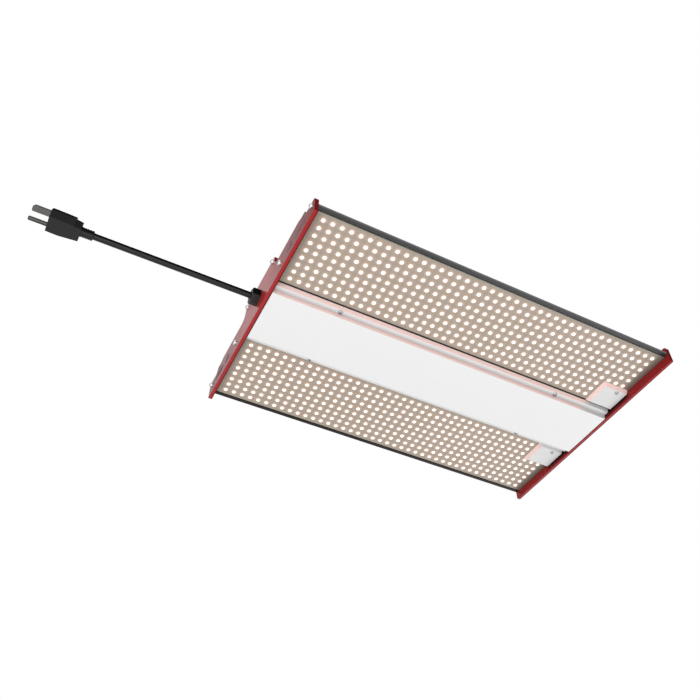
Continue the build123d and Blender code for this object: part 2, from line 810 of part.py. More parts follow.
def gland_body():
    """Threaded body: flange outside the plate, thread through it and a spigot for the cap."""
    body = gland_prism(gland_flats, (gland_face_x, -plate_outer_x))
    body += gland_rod(gland_thread_diameter / 2, (gland_face_x, -plate_outer_x + gland_thread_length))
    body += gland_rod(gland_spigot_diameter / 2, (gland_face_x - gland_spigot, gland_face_x))
    body -= gland_rod(cord_diameter / 2 + gland_bore_gap, (cord_start_x, cord_tail_end_x))
    return body - gland_rod(seal_radius + thread_gap, seal_x)


def gland_cap():
    """Six-sided clamping cap over the spigot."""
    cap = gland_prism(gland_flats, (cord_start_x, gland_face_x - slip_gap))
    cap = chamfer(cap.edges().group_by(Axis.X)[0], gland_cap_bevel)
    cavity = (gland_face_x - gland_spigot - seat_gap, gland_face_x - slip_gap)
    cap -= gland_rod(gland_spigot_diameter / 2 + slip_gap, cavity)
    return cap - gland_rod(cord_diameter / 2 + gland_bore_gap, (cord_start_x - overcut, gland_face_x))


def gland_locknut():
    """Nut on the gland's thread, inside the end plate."""
    x_range = (-plate_inner_x, -plate_inner_x + gland_nut_thickness)
    nut = gland_prism(gland_flats, x_range)
    return nut - gland_rod(gland_thread_diameter / 2 + thread_gap, x_range)


def gland_seal():
    """Rubber sleeve squeezed round the cord."""
    sleeve = gland_rod(seal_radius, seal_x)
    return sleeve - gland_rod(cord_diameter / 2 + thread_gap, seal_x)


def power_cord():
    """Straight cord from the gland to the plug's boot."""
    return gland_rod(cord_diameter / 2, (boot_start_x, cord_start_x))


def cord_tail():
    """Cord inside the gland, stripped just behind it."""
    return gland_rod(cord_diameter / 2, (cord_start_x, cord_tail_end_x))


def placed_plug(shape):
    """Turn a shape from the plug's own frame (ground pin down) about the cord's axis."""
    return Pos(0, gland_y, gland_z) * Rot(plug_twist, 0, 0) * shape


def plug_section(section):
    """Six-sided section of the plug in its own frame."""
    distance, half_widths, heights = section
    half = list(zip(half_widths, heights))
    return Plane.YZ.offset(plug_face_x + distance) * outline(both_sides(half))


def plug_body():
    """Moulded plug: a grip with a step down to its rear."""
    body = loft([plug_section(section) for section in plug_sections], ruled=True)
    body += loft([plug_section(section) for section in plug_rear_sections], ruled=True)
    return placed_plug(body)


def plug_boot():
    """Ribbed strain relief."""
    boot = gland_rod(boot_diameter / 2, (plug_rear_x, boot_start_x))
    pitch = boot_length / boot_rib_count
    for index in range(1, boot_rib_count):
        x = plug_rear_x + index * pitch
        groove = (x - pitch / 6, x + pitch / 6)
        boot -= gland_rod(boot_diameter, groove) - gland_rod(boot_diameter / 2 - boot_rib_depth, groove)
    return boot


def plug_blades():
    """Two flat blades."""
    z_range = (blade_rise - blade_width / 2, blade_rise + blade_width / 2)
    blades = []
    for side in (-1, 1):
        y = side * blade_spacing / 2
        y_range = (y - blade_thickness / 2, y + blade_thickness / 2)
        blades.append(placed_plug(block((plug_face_x - blade_length, plug_face_x), y_range, z_range)))
    return blades


def plug_ground_pin():
    """Round ground pin with a domed tip."""
    z = blade_rise - ground_pin_drop
    radius = ground_pin_diameter / 2
    tip_x = plug_face_x - ground_pin_length + radius
    pin = rod_x(radius, (tip_x, plug_face_x), 0.0, z)
    return placed_plug(pin + Pos(tip_x, 0.0, z) * Sphere(radius))


def all_nodes():
    """Every node's name and its shape or list of shapes."""
    nodes = {
        "end_plate_cord_end": end_plate(True),
        "end_plate_far_end": end_plate(False),
        "end_plate_screws_cord_end": end_plate_screws(-1),
        "end_plate_screws_far_end": end_plate_screws(1),
        "centre_cover": centre_cover(),
        "centre_cover_screws": cover_screws(),
        "cover_standoffs": cover_standoffs(),
        "terminal_cover_screws": terminal_screws(),
        "driver_tray": driver_tray(),
        "driver_housing": driver_housing(),
        "housing_screws": housing_screws(),
        "driver_case": driver_case(),
        "driver_end_caps": driver_end_caps(),
        "driver_screws": driver_screws(),
        "driver_circuit_board": driver_circuit_board(),
        "driver_components": driver_components(),
        "wire_grommets": wire_grommets(),
        "mains_wires": mains_wires(),
        "earth_wire": earth_wire(),
        "earth_lug": earth_lug(),
        "earth_screw": earth_screw(),
        "gland_body": gland_body(),
        "gland_cap": gland_cap(),
        "gland_locknut": gland_locknut(),
        "gland_seal": gland_seal(),
        "power_cord": power_cord(),
        "cord_tail": cord_tail(),
        "plug_body": plug_body(),
        "plug_boot": plug_boot(),
        "plug_blades": plug_blades(),
        "plug_ground_pin": plug_ground_pin(),
    }
    for name, side in (("front", -1), ("rear", 1)):
        nodes["heatsink_" + name] = heatsink(side)
        nodes["thermal_pad_" + name] = flat_layer(side, (board_face_z + board_thickness, base_z))
        nodes["led_board_" + name] = flat_layer(side, (board_face_z, board_face_z + board_thickness))
        nodes["led_packages_" + name] = led_packages(side)
        nodes["terminal_cover_" + name] = terminal_cover(side)
        nodes["terminal_connector_" + name] = terminal_connector(side)
        nodes["board_wires_" + name] = board_wires(side)
    return nodes


def export_nodes():
    """Write one STEP file for each node."""
    os.makedirs("parts", exist_ok=True)
    for name, shape in all_nodes().items():
        pieces = shape if isinstance(shape, list) else [shape]
        solids = [solid for piece in pieces for solid in piece.solids()]
        export_step(Compound(solids) if len(solids) > 1 else solids[0], f"parts/{name}.step")
    print("cord: one straight run of", cord_length, "mm, no bends")
    print("body:", 2 * plate_outer_x, "x", 2 * plate_half_width, "x", hump_top_z, "mm")


export_nodes()
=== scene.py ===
"""Dressed model of a LED grow light, hung level and seen from below.

Lengths are in metres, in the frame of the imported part: +X runs along the light away from its cord, +Y to
the rear board and +Z up. Values in millimetres are multiplied by MM.
"""
import bmesh
import bpy
import math
from bpy.props import FloatProperty, FloatVectorProperty, PointerProperty
from mathutils import Matrix, Vector


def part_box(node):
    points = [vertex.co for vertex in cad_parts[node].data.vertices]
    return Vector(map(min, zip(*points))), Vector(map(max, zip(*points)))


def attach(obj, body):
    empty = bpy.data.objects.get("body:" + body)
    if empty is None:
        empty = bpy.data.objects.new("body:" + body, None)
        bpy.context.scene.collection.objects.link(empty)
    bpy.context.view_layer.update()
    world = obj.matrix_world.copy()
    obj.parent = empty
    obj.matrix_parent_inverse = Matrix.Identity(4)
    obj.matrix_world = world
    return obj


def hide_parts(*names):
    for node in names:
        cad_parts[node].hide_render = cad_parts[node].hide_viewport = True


bl_info = {
    "name": "LED grow light",
    "version": (1, 0, 0),
    "blender": (4, 5, 0),
    "location": "3D View > Sidebar > Grow light",
    "description": "Dresses a grow light's solids with bevelled shells, light packages, screws and a cord",
    "category": "Add Mesh",
}

MM = 0.001
BODY = "root"
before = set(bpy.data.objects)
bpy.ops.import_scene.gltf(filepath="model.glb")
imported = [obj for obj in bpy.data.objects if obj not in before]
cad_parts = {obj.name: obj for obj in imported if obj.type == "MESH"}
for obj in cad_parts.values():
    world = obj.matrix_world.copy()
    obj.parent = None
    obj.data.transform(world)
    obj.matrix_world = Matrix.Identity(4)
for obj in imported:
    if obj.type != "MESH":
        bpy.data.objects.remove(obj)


# Places and sizes read from the frame

def merged_copy(node):
    """A bmesh copy of a node's mesh with its loose triangles joined."""
    shape = bmesh.new()
    shape.from_mesh(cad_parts[node].data)
    bmesh.ops.remove_doubles(shape, verts=shape.verts, dist=0.002 * MM)
    return shape


def solid_boxes(node):
    """Lowest and highest corners of each solid in a node."""
    shape = merged_copy(node)
    boxes, seen = [], set()
    for start in shape.verts:
        if start in seen:
            continue
        stack, island = [start], []
        seen.add(start)
        while stack:
            vertex = stack.pop()
            island.append(vertex.co.copy())
            for edge in vertex.link_edges:
                other = edge.other_vert(vertex)
                if other not in seen:
                    seen.add(other)
                    stack.append(other)
        low = Vector([min(point[axis] for point in island) for axis in range(3)])
        high = Vector([max(point[axis] for point in island) for axis in range(3)])
        boxes.append((low, high))
    shape.free()
    return boxes


def package_grid():
    """Pitch along X and Y, place of the first row, and numbers of the last column and row."""
    centres = [(low + high) / 2 for low, high in solid_boxes("led_packages_rear")]
    columns = sorted({round(centre.x, 5) for centre in centres})
    rows = sorted({round(centre.y, 5) for centre in centres})
    return columns[1] - columns[0], rows[1] - rows[0], rows[0], (len(columns) - 1) / 2, len(rows) - 1


PITCH_X, PITCH_Y, FIRST_ROW_Y, LAST_COLUMN, LAST_ROW = package_grid()
CORD_LOW, CORD_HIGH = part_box("power_cord")
CORD_AXIS_Y = (CORD_LOW.y + CORD_HIGH.y) / 2
CORD_AXIS_Z = (CORD_LOW.z + CORD_HIGH.z) / 2
CORD_DIAMETER = CORD_HIGH.z - CORD_LOW.z
BOARD_END_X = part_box("led_board_rear")[1].x
LIT_END_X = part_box("terminal_cover_rear")[0].x
PLATE_LOW, PLATE_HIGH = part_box("end_plate_far_end")
PLATE_X = (PLATE_LOW.x + PLATE_HIGH.x) / 2

# Ledges of the centre cover: where they start and end, and how high they are
LEDGE_INNER_Y = 38.4 * MM
LEDGE_OUTER_Y = 44.7 * MM
LEDGE_Z = 5.45 * MM


# Settings

def colour_setting(name, description, default):
    """A colour property with linear values."""
    return FloatVectorProperty(name=name, description=description, subtype="COLOR", size=3,
                               min=0.0, max=1.0, default=default)


def length_setting(name, description, millimetres):
    """A length property in metres."""
    return FloatProperty(name=name, description=description, subtype="DISTANCE", unit="LENGTH",
                         min=0.0, default=millimetres * MM)


class BodySettings(bpy.types.PropertyGroup):
    """Finish of the plates, heatsinks, housing and covers."""

    enamel: colour_setting("Enamel", "Colour of the end plates", (0.39, 0.028, 0.031))
    anodised: colour_setting("Anodised", "Colour of the heatsinks and the housing", (0.042, 0.042, 0.044))
    # Painted shade under the rear heatsink: darker and redder than the anodised colour.
    painted_under_shade: colour_setting("Underside", "Colour under the rear heatsink", (0.026, 0.018, 0.018))
    cover: colour_setting("Cover", "Colour of the centre cover", (0.88, 0.88, 0.88))
    terminal: colour_setting("Terminal covers", "Colour of the small covers", (0.76, 0.76, 0.76))
    # Painted glow of the packages' light on the covers' walls
    glow: colour_setting("Glow", "Tint on the walls that face the packages", (0.84, 0.62, 0.59))
    plate_bevel: length_setting("Plate bevel", "Width of the end plates' edge bevel", 0.8)
    sheet_bevel: length_setting("Sheet bevel", "Width of the covers' edge bevel", 0.25)
    fin_bevel: length_setting("Fin bevel", "Width of the extrusions' edge bevel", 0.2)


class BoardSettings(bpy.types.PropertyGroup):
    """Light boards and their packages."""

    mask: colour_setting("Solder mask", "Colour of the boards between packages", (0.352, 0.318, 0.256))
    field: colour_setting("Field", "Colour of the boards within the rows of packages", (0.424, 0.334, 0.268))
    halo: colour_setting("Halo", "Glow on the board round a package", (0.60, 0.485, 0.425))
    lens: colour_setting("Lens", "Colour of a lit package", (1.0, 0.93, 0.84))
    lens_diameter: length_setting("Lens", "Diameter of the domed lens", 4.2)
    holder_height: length_setting("Holder", "Height of the package's round holder", 0.45)
    brightness: FloatProperty(name="Brightness", description="Emission strength of a lit package",
                              min=0.0, max=10.0, default=1.15)


class CordSettings(bpy.types.PropertyGroup):
    """Cord, gland and plug."""

    jacket: colour_setting("Jacket", "Colour of the cord", (0.013, 0.013, 0.0135))
    moulding: colour_setting("Moulding", "Colour of the plug and the gland", (0.014, 0.014, 0.0145))
    blade: colour_setting("Blade", "Colour of the plug's metal", (0.062, 0.060, 0.056))
    plug_bevel: length_setting("Plug bevel", "Rounding of the plug's edges", 0.7)


class StageSettings(bpy.types.PropertyGroup):
    """Camera, lamps and surroundings."""

    camera_place: FloatVectorProperty(name="Camera", description="Place of the camera", subtype="XYZ",
                                      unit="LENGTH", size=3, default=(-0.4036, -0.5642, -0.6652))
    camera_target: FloatVectorProperty(name="Target", description="Point that the camera looks at",
                                       subtype="XYZ", unit="LENGTH", size=3,
                                       default=(-0.1222, -0.0102, -0.0141))
    lens: FloatProperty(name="Lens", description="Focal length in millimetres on a 36 mm sensor",
                        min=1.0, default=40.21)
    ambient: FloatProperty(name="Ambient", description="Strength of the light from all round",
                           min=0.0, default=0.50)


# Materials

BLACK = (0.0, 0.0, 0.0, 1.0)

# Where masks on the end plates start and end
STRIP_SIDE_X = (0.8 * MM, 1.8 * MM)
SLOT_LOW_Z = (2 * MM, 4 * MM)
SLOT_HIGH_Z = (35 * MM, 33 * MM)
SLOT_END_Y = (150 * MM, 146 * MM)
BESIDE_COVER_Y = (88 * MM, 76 * MM)
BESIDE_COVER_Z = (0.0, 5 * MM)
FRONT_END_Y = (-150 * MM, -20 * MM)
FAR_OUT_Y = (25 * MM, 90 * MM)

# Part of a normal along Z or Y, from where a wall starts to count as facing down or to the front
TURNED_AWAY = (-0.5, -0.8)

# Specular levels of the enamel away from its painted edge shade and of the anodised extrusions
ENAMEL_GLOSS = 0.17
ANODISED_GLOSS = 0.45

# Where masks on the centre cover start and end
COVER_WALL_Z = (0.3 * MM, LEDGE_Z)
COVER_OUTSIDE_Y = (LEDGE_INNER_Y, LEDGE_INNER_Y + 3 * MM)
COVER_UNLIT_X = (LIT_END_X - 6 * MM, LIT_END_X + 10 * MM)
COVER_LEDGE_Z = (1.0 * MM, 2.0 * MM)

# Where masks on the boards and the packages start and end, mostly as distances to a package's axis
LENS_RIM = (1.5 * MM, 2.5 * MM)
BETWEEN_PACKAGES = (7.8 * MM, 5.0 * MM)
ROUND_PACKAGE = (4.9 * MM, 2.4 * MM)
BOARD_SHADE_X = 100 * MM
BOARD_SHADE_LENGTH = 14 * MM

# Direction that the shaded side of the cord and the plug looks in
UPPER_FRONT = (0.0, -0.78, 0.63)


def linear(red, green, blue):
    """Linear colour of a screen colour given in steps of 255."""
    def channel(value):
        value /= 255
        return value / 12.92 if value <= 0.04045 else ((value + 0.055) / 1.055) ** 2.4
    return channel(red), channel(green), channel(blue), 1.0


class Recipe:
    """One material, written as a chain of nodes."""

    def __init__(self, name):
        self.material = bpy.data.materials.new(name)
        self.material.use_nodes = True
        self.tree = self.material.node_tree
        self.tree.nodes.clear()
        self.output = self.node("ShaderNodeOutputMaterial")
        coordinates = self.node("ShaderNodeTexCoord")
        self.place = coordinates.outputs["Object"]
        self.normal = coordinates.outputs["Normal"]

    def node(self, kind, inputs=None, **settings):
        """Add a node; an input is a constant, or a socket to link."""
        made = self.tree.nodes.new(kind)
        for name, value in settings.items():
            setattr(made, name, value)
        for key, value in (inputs or {}).items():
            if isinstance(value, bpy.types.NodeSocket):
                self.tree.links.new(value, made.inputs[key])
            else:
                made.inputs[key].default_value = value
        return made

    def math(self, operation, first, second=0.0):
        """Result of one sum on numbers."""
        return self.node("ShaderNodeMath", {0: first, 1: second}, operation=operation).outputs[0]

    def times(self, *values):
        """Product of numbers."""
        product = values[0]
        for value in values[1:]:
            product = self.math("MULTIPLY", product, value)
        return product

    def absolute(self, value):
        """A number without its sign."""
        return self.math("ABSOLUTE", value)

    def vector(self, operation, inputs, output="Vector"):
        """Result of one sum on vectors."""
        return self.node("ShaderNodeVectorMath", inputs, operation=operation).outputs[output]

    def axes(self, vector):
        """The three numbers of a vector."""
        return self.node("ShaderNodeSeparateXYZ", {0: vector}).outputs

    def noise(self, scale, detail=3.0, stretch=(1.0, 1.0, 1.0)):
        """Noise from 0 to 1; scale counts features in a metre, stretch draws them out."""
        squeezed = self.vector("DIVIDE", {0: self.place, 1: stretch})
        inputs = {"Vector": squeezed, "Scale": scale, "Detail": detail}
        return self.node("ShaderNodeTexNoise", inputs).outputs["Fac"]

    def ramp(self, value, from_low, from_high, to_low=0.0, to_high=1.0):
        """A clamped straight ramp."""
        inputs = {"Value": value, "From Min": from_low, "From Max": from_high,
                  "To Min": to_low, "To Max": to_high}
        return self.node("ShaderNodeMapRange", inputs).outputs["Result"]

    def step(self, value, from_low, from_high):
        """A clamped smooth step from 0 to 1."""
        inputs = {"Value": value, "From Min": from_low, "From Max": from_high}
        return self.node("ShaderNodeMapRange", inputs, interpolation_type="SMOOTHSTEP").outputs["Result"]

    def blend(self, amount, first, second):
        """Mix of two colours."""
        return self.node("ShaderNodeMix", {0: amount, 6: first, 7: second}, data_type="RGBA").outputs[2]

    def darkened(self, colour, amount):
        """A colour, mixed with black."""
        return self.blend(amount, colour, BLACK)

    def shades(self, colour, amount, low, high):
        """A colour, darkened and lightened by a number from 0 to 1."""
        dark = tuple(channel * low for channel in colour[:3]) + (1.0,)
        light = tuple(min(channel * high, 1.0) for channel in colour[:3]) + (1.0,)
        return self.blend(amount, dark, light)

    def bump(self, height, depth):
        """Normal of a relief of a given depth in metres."""
        return self.node("ShaderNodeBump", {"Height": height, "Distance": depth}).outputs["Normal"]

    def surface(self, **inputs):
        """Principled surface; an underscore in a name stands for a space."""
        named = {}
        for name, value in inputs.items():
            named[name.replace("_", " ").title().replace("Ior", "IOR")] = value
        shader = self.node("ShaderNodeBsdfPrincipled", named)
        self.tree.links.new(shader.outputs[0], self.output.inputs["Surface"])
        return self.material


def strip_sides(recipe, place, normal):
    """1 on the sides of the bottom strips that carry painted shade: both on the far plate, the inner one on
    the other plate.
    """
    far = recipe.math("GREATER_THAN", place[0], 0.0)
    across = recipe.math("SUBTRACT", place[0], recipe.times(recipe.math("SIGN", place[0]), PLATE_X))
    either = recipe.times(recipe.absolute(across), far)
    side = recipe.step(recipe.math("MAXIMUM", across, either), *STRIP_SIDE_X)
    return recipe.times(side, recipe.step(normal[2], *TURNED_AWAY))


def slot_walls(recipe, place, normal):
    """1 on the walls of the vent slots that face down or to the front."""
    within = recipe.times(recipe.step(recipe.absolute(place[1]), *SLOT_END_Y),
                          recipe.step(place[2], *SLOT_HIGH_Z))
    end_walls = recipe.times(within, recipe.step(normal[1], *TURNED_AWAY))
    walls = recipe.math("MAXIMUM", end_walls, recipe.step(normal[2], *TURNED_AWAY))
    return recipe.times(walls, recipe.step(place[2], *SLOT_LOW_Z))


def enamel(name, colour):
    """Gloss enamel with a faint orange peel.

    Edges, front walls and the sides of the bottom strips carry painted shade, darker and without gloss, and
    the slots are grey. Inner faces carry painted shade, with a nearly black painted shadow beside the centre
    cover. Outer faces carry painted shade, darker away from the middle.
    """
    recipe = Recipe(name)
    cloud = recipe.noise(22.0, 4.0)
    peel = recipe.noise(400.0, 1.0)
    place, normal = recipe.axes(recipe.place), recipe.axes(recipe.normal)
    sideways = recipe.absolute(place[1])
    outward = recipe.times(normal[0], recipe.math("SIGN", place[0]))
    # Painted shade: bevels, front walls and the sides of the bottom strips are darkened and lose their gloss.
    edge = recipe.times(recipe.step(normal[0], 0.02, 0.30), recipe.step(normal[0], 0.99, 0.90))
    painted_edge_shade = recipe.math("MAXIMUM", edge, recipe.step(normal[1], -0.3, -0.7))
    painted_edge_shade = recipe.math("MAXIMUM", painted_edge_shade, strip_sides(recipe, place, normal))
    # Painted shade on the inner faces, and a nearly black painted shadow on them beside the centre cover.
    inner = recipe.step(outward, -0.8, -0.95)
    painted_gap_shadow = recipe.times(inner, recipe.step(sideways, *BESIDE_COVER_Y),
                          recipe.ramp(place[2], *BESIDE_COVER_Z, 0.35, 0.95))
    # Painted shade on the outer faces: darker and less glossy away from the middle.
    painted_far_shade = recipe.times(recipe.step(outward, 0.8, 0.95), recipe.ramp(sideways, *FAR_OUT_Y, 0.0, 0.5))
    front_end = recipe.ramp(place[1], *FRONT_END_Y, 1.0, 0.0)
    base = recipe.shades(colour, cloud, 0.95, 1.05)
    base = recipe.darkened(base, recipe.math("MAXIMUM", painted_far_shade, recipe.times(inner, 0.32)))
    base = recipe.darkened(base, recipe.times(painted_edge_shade, 0.6))
    base = recipe.blend(slot_walls(recipe, place, normal), base, linear(158, 124, 130))
    base = recipe.blend(painted_gap_shadow, base, (0.004, 0.001, 0.001, 1.0))
    return recipe.surface(
        base_color=base,
        roughness=recipe.ramp(cloud, 0.3, 0.7, 0.24, 0.30),
        normal=recipe.bump(peel, 0.000004),
        specular_ior_level=recipe.times(
            recipe.ramp(painted_edge_shade, 0.0, 1.0, ENAMEL_GLOSS, 0.0), recipe.ramp(front_end, 0.0, 1.0, 1.0, 0.25),
            recipe.ramp(painted_far_shade, 0.0, 0.5, 1.0, 0.6), recipe.ramp(painted_gap_shadow, 0.0, 1.0, 1.0, 0.0)),
    )


def extruded(name, colour, under=None):
    """Anodised extrusion with fine die lines along X; its underside may carry painted shade, darker and less
    glossy.
    """
    recipe = Recipe(name)
    lines = recipe.noise(1500.0, 2.0, (120.0, 1.0, 1.0))
    cloud = recipe.noise(30.0, 3.0)
    shade = recipe.times(lines, cloud)
    base = recipe.shades(colour, shade, 0.78, 1.9)
    gloss = ANODISED_GLOSS
    # Painted shade on the faces that look down.
    if under:
        down = recipe.step(recipe.axes(recipe.normal)[2], -0.3, -0.7)
        base = recipe.blend(down, base, recipe.shades(under, shade, 0.78, 1.9))
        gloss = recipe.ramp(down, 0.0, 1.0, gloss, 0.15)
    return recipe.surface(
        base_color=base,
        roughness=recipe.ramp(lines, 0.3, 0.7, 0.36, 0.50),
        normal=recipe.bump(lines, 0.00003),
        specular_ior_level=gloss,
        metallic=0.35,
    )


def powder(name, colour):
    """Satin powder coat."""
    recipe = Recipe(name)
    return powder_surface(recipe, recipe.shades(colour, recipe.noise(18.0, 3.0), 0.985, 1.015))


def powder_surface(recipe, base):
    """Satin grain of a powder coat over a base colour."""
    grain = recipe.noise(1400.0, 2.0)
    return recipe.surface(
        base_color=base,
        roughness=recipe.ramp(grain, 0.3, 0.7, 0.42, 0.54),
        normal=recipe.bump(grain, 0.00001),
    )


def cover_coat(name, colour, glow):
    """Powder coat of the centre cover: painted glow from the packages on the walls, painted shade inwards on
    the ledges.
    """
    recipe = Recipe(name)
    place, normal = recipe.axes(recipe.place), recipe.axes(recipe.normal)
    base = recipe.shades(colour, recipe.noise(18.0, 3.0), 0.985, 1.015)
    sideways = recipe.absolute(place[1])
    # Painted glow from the packages on the walls, weaker higher up on the walls inside the ledges.
    wall = recipe.step(recipe.absolute(normal[1]), 0.15, 0.6)
    depth = recipe.ramp(place[2], *COVER_WALL_Z, 1.0, 0.70)
    outside = recipe.step(sideways, *COVER_OUTSIDE_Y)
    painted_glow = recipe.shades(glow, recipe.math("MAXIMUM", depth, outside), 0.0, 1.0)
    # Painted shade on the walls where the packages end.
    unlit = recipe.step(place[0], *COVER_UNLIT_X)
    painted_glow = recipe.blend(unlit, painted_glow, tuple(channel * 0.55 for channel in colour) + (1.0,))
    # Painted shade across the ledges, darker towards their inner edge.
    ledge_painted_shade = recipe.shades(colour, recipe.ramp(sideways, LEDGE_INNER_Y, LEDGE_OUTER_Y, 0.62, 0.95), 0.0, 1.0)
    flat = recipe.blend(recipe.step(place[2], *COVER_LEDGE_Z), base, ledge_painted_shade)
    return powder_surface(recipe, recipe.blend(wall, flat, painted_glow))


def terminal_coat(name, colour, glow):
    """Powder coat of a terminal cover: walls that face the packages take a painted glow from them."""
    recipe = Recipe(name)
    place, normal = recipe.axes(recipe.place), recipe.axes(recipe.normal)
    base = recipe.shades(colour, recipe.noise(18.0, 3.0), 0.985, 1.015)
    toward_cord = recipe.times(normal[0], -1.0)
    outward = recipe.times(normal[1], recipe.math("SIGN", place[1]))
    # Painted glow from the packages on the walls that face them, brightest on those facing the cord.
    wall = recipe.step(recipe.math("MAXIMUM", toward_cord, recipe.times(outward, 0.8)), 0.2, 0.6)
    bright = tuple(min(channel * 1.15, 1.0) for channel in glow) + (1.0,)
    painted_glow = recipe.blend(recipe.step(toward_cord, 0.2, 0.6), glow[:] + (1.0,), bright)
    return powder_surface(recipe, recipe.blend(wall, base, painted_glow))


def moulded(name, colour, roughness):
    """Moulded plastic or rubber with a fine spark grain."""
    recipe = Recipe(name)
    spark = recipe.noise(1800.0, 3.0)
    cloud = recipe.noise(40.0, 3.0)
    return recipe.surface(
        base_color=recipe.shades(colour, cloud, 0.82, 1.18),
        roughness=recipe.ramp(spark, 0.3, 0.7, roughness - 0.06, roughness + 0.08),
        normal=recipe.bump(spark, 0.00003),
    )


def black_moulded(name, colour, roughness, grain, depth, fall, low):
    """Black cord or plug compound; painted shade drops its upper front side to a low share of gloss and
    colour.
    """
    recipe = Recipe(name)
    spark = recipe.noise(grain, 3.0)
    tilt = recipe.vector("DOT_PRODUCT", {0: recipe.normal, 1: UPPER_FRONT}, "Value")
    # Painted shade: the side that looks towards UPPER_FRONT is darker and less glossy.
    painted_lit_side = recipe.ramp(tilt, *fall, 1.0, low)
    shade = recipe.times(painted_lit_side, recipe.ramp(recipe.noise(40.0), 0.3, 0.7, 0.85, 1.0))
    return recipe.surface(
        base_color=recipe.shades(colour, shade, 0.0, 1.0),
        roughness=recipe.ramp(spark, 0.3, 0.7, roughness - 0.06, roughness + 0.08),
        normal=recipe.bump(spark, depth),
        specular_ior_level=recipe.times(painted_lit_side, recipe.ramp(tilt, 0.3, 0.65, 0.26, 0.0)),
    )


def metal(name, colour, roughness, stretch=(1.0, 1.0, 1.0)):
    """Bare or plated metal with fine marks."""
    recipe = Recipe(name)
    marks = recipe.noise(900.0, 4.0, stretch)
    cloud = recipe.noise(60.0, 3.0)
    return recipe.surface(
        base_color=recipe.shades(colour, cloud, 0.86, 1.1),
        roughness=recipe.ramp(marks, 0.3, 0.7, roughness - 0.07, roughness + 0.1),
        normal=recipe.bump(marks, 0.00001),
        metallic=1.0,
    )


def package_distance(recipe):
    """Distance, in metres, to the axis of the nearest light package."""
    place = recipe.axes(recipe.place)
    column = recipe.math("DIVIDE", place[0], PITCH_X)
    from_first = recipe.math("SUBTRACT", recipe.absolute(place[1]), FIRST_ROW_Y)
    row = recipe.math("DIVIDE", from_first, PITCH_Y)
    ranges = ((column, PITCH_X, -LAST_COLUMN, LAST_COLUMN), (row, PITCH_Y, 0, LAST_ROW))
    offsets = {}
    for axis, (count, pitch, low, high) in enumerate(ranges):
        nearest = recipe.math("MINIMUM", recipe.math("MAXIMUM", recipe.math("ROUND", count), low), high)
        offsets[axis] = recipe.times(recipe.math("SUBTRACT", count, nearest), pitch)
    offset = recipe.node("ShaderNodeCombineXYZ", offsets).outputs[0]
    return recipe.vector("LENGTH", {0: offset}, "Value")


def solder_mask(name, colour, field, halo):
    """Board face with faint copper tracks, warmer between the packages and with a glow round each."""
    recipe = Recipe(name)
    distance = package_distance(recipe)
    cloud = recipe.noise(35.0, 4.0)
    place = recipe.axes(recipe.place)
    bands = {"Vector": recipe.place, "Scale": 1 / PITCH_Y / 2, "Distortion": 0.0}
    track = recipe.node("ShaderNodeTexWave", bands, bands_direction="Y").outputs["Fac"]
    tracked = recipe.blend(recipe.step(track, 0.80, 0.92), recipe.shades(colour, cloud, 0.94, 1.06),
                           recipe.shades(colour, cloud, 0.88, 1.0))
    tracked = recipe.blend(recipe.ramp(distance, *BETWEEN_PACKAGES), tracked, field[:] + (1.0,))
    end_shade = recipe.times(
        recipe.ramp(place[0], BOARD_SHADE_X, BOARD_END_X, 1.0, 0.85),
        recipe.ramp(place[0], BOARD_END_X - BOARD_SHADE_LENGTH, BOARD_END_X, 1.0, 0.45))
    shaded = recipe.vector("SCALE", {0: tracked, "Scale": end_shade})
    return recipe.surface(
        base_color=recipe.blend(recipe.step(distance, *ROUND_PACKAGE), shaded, halo[:] + (1.0,)),
        roughness=recipe.ramp(cloud, 0.3, 0.7, 0.38, 0.48),
        normal=recipe.bump(track, 0.00001),
    )


def lit_lens(name, colour, strength):
    """Glowing lens, warmer towards its rim."""
    recipe = Recipe(name)
    distance = package_distance(recipe)
    rim = recipe.step(distance, *LENS_RIM)
    warm = tuple(channel * weight for channel, weight in zip(colour, (1.0, 0.86, 0.72))) + (1.0,)
    glow = recipe.blend(rim, colour[:] + (1.0,), warm)
    return recipe.surface(
        base_color=glow,
        roughness=recipe.ramp(recipe.noise(500.0), 0.3, 0.7, 0.2, 0.3),
        emission_color=glow,
        emission_strength=strength,
    )


def circuit(name):
    """Green circuit board with tracks."""
    recipe = Recipe(name)
    brick = recipe.node("ShaderNodeTexBrick", {"Vector": recipe.place, "Color1": linear(12, 84, 44),
                                               "Color2": linear(16, 96, 50), "Mortar": linear(30, 122, 66),
                                               "Scale": 140.0, "Mortar Size": 0.03})
    return recipe.surface(
        base_color=brick.outputs["Color"],
        roughness=recipe.ramp(recipe.noise(200.0), 0.3, 0.7, 0.3, 0.4),
        normal=recipe.bump(brick.outputs["Fac"], 0.00002),
    )


# Meshes

def piece_from(name, shape, material, slot, *nodes):
    """Object from a bmesh: it rides on the body and may stand for CAD nodes."""
    mesh = bpy.data.meshes.new(name)
    shape.to_mesh(mesh)
    shape.free()
    return dress(bpy.data.objects.new(name, mesh), material, slot, *nodes)


def dress(piece, material, slot, *nodes):
    """Link a piece, give it its finish, hang it on the body and hide the CAD nodes it stands for."""
    if piece.name not in bpy.context.scene.collection.all_objects:
        bpy.context.scene.collection.objects.link(piece)
    if not piece.data.materials:
        piece.data.materials.append(material)
    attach(piece, BODY)
    if nodes:
        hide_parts(*nodes)
    return piece


def paint(material, *nodes):
    """Give CAD nodes a finish."""
    for node in nodes:
        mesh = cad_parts[node].data
        mesh.materials.clear()
        mesh.materials.append(material)


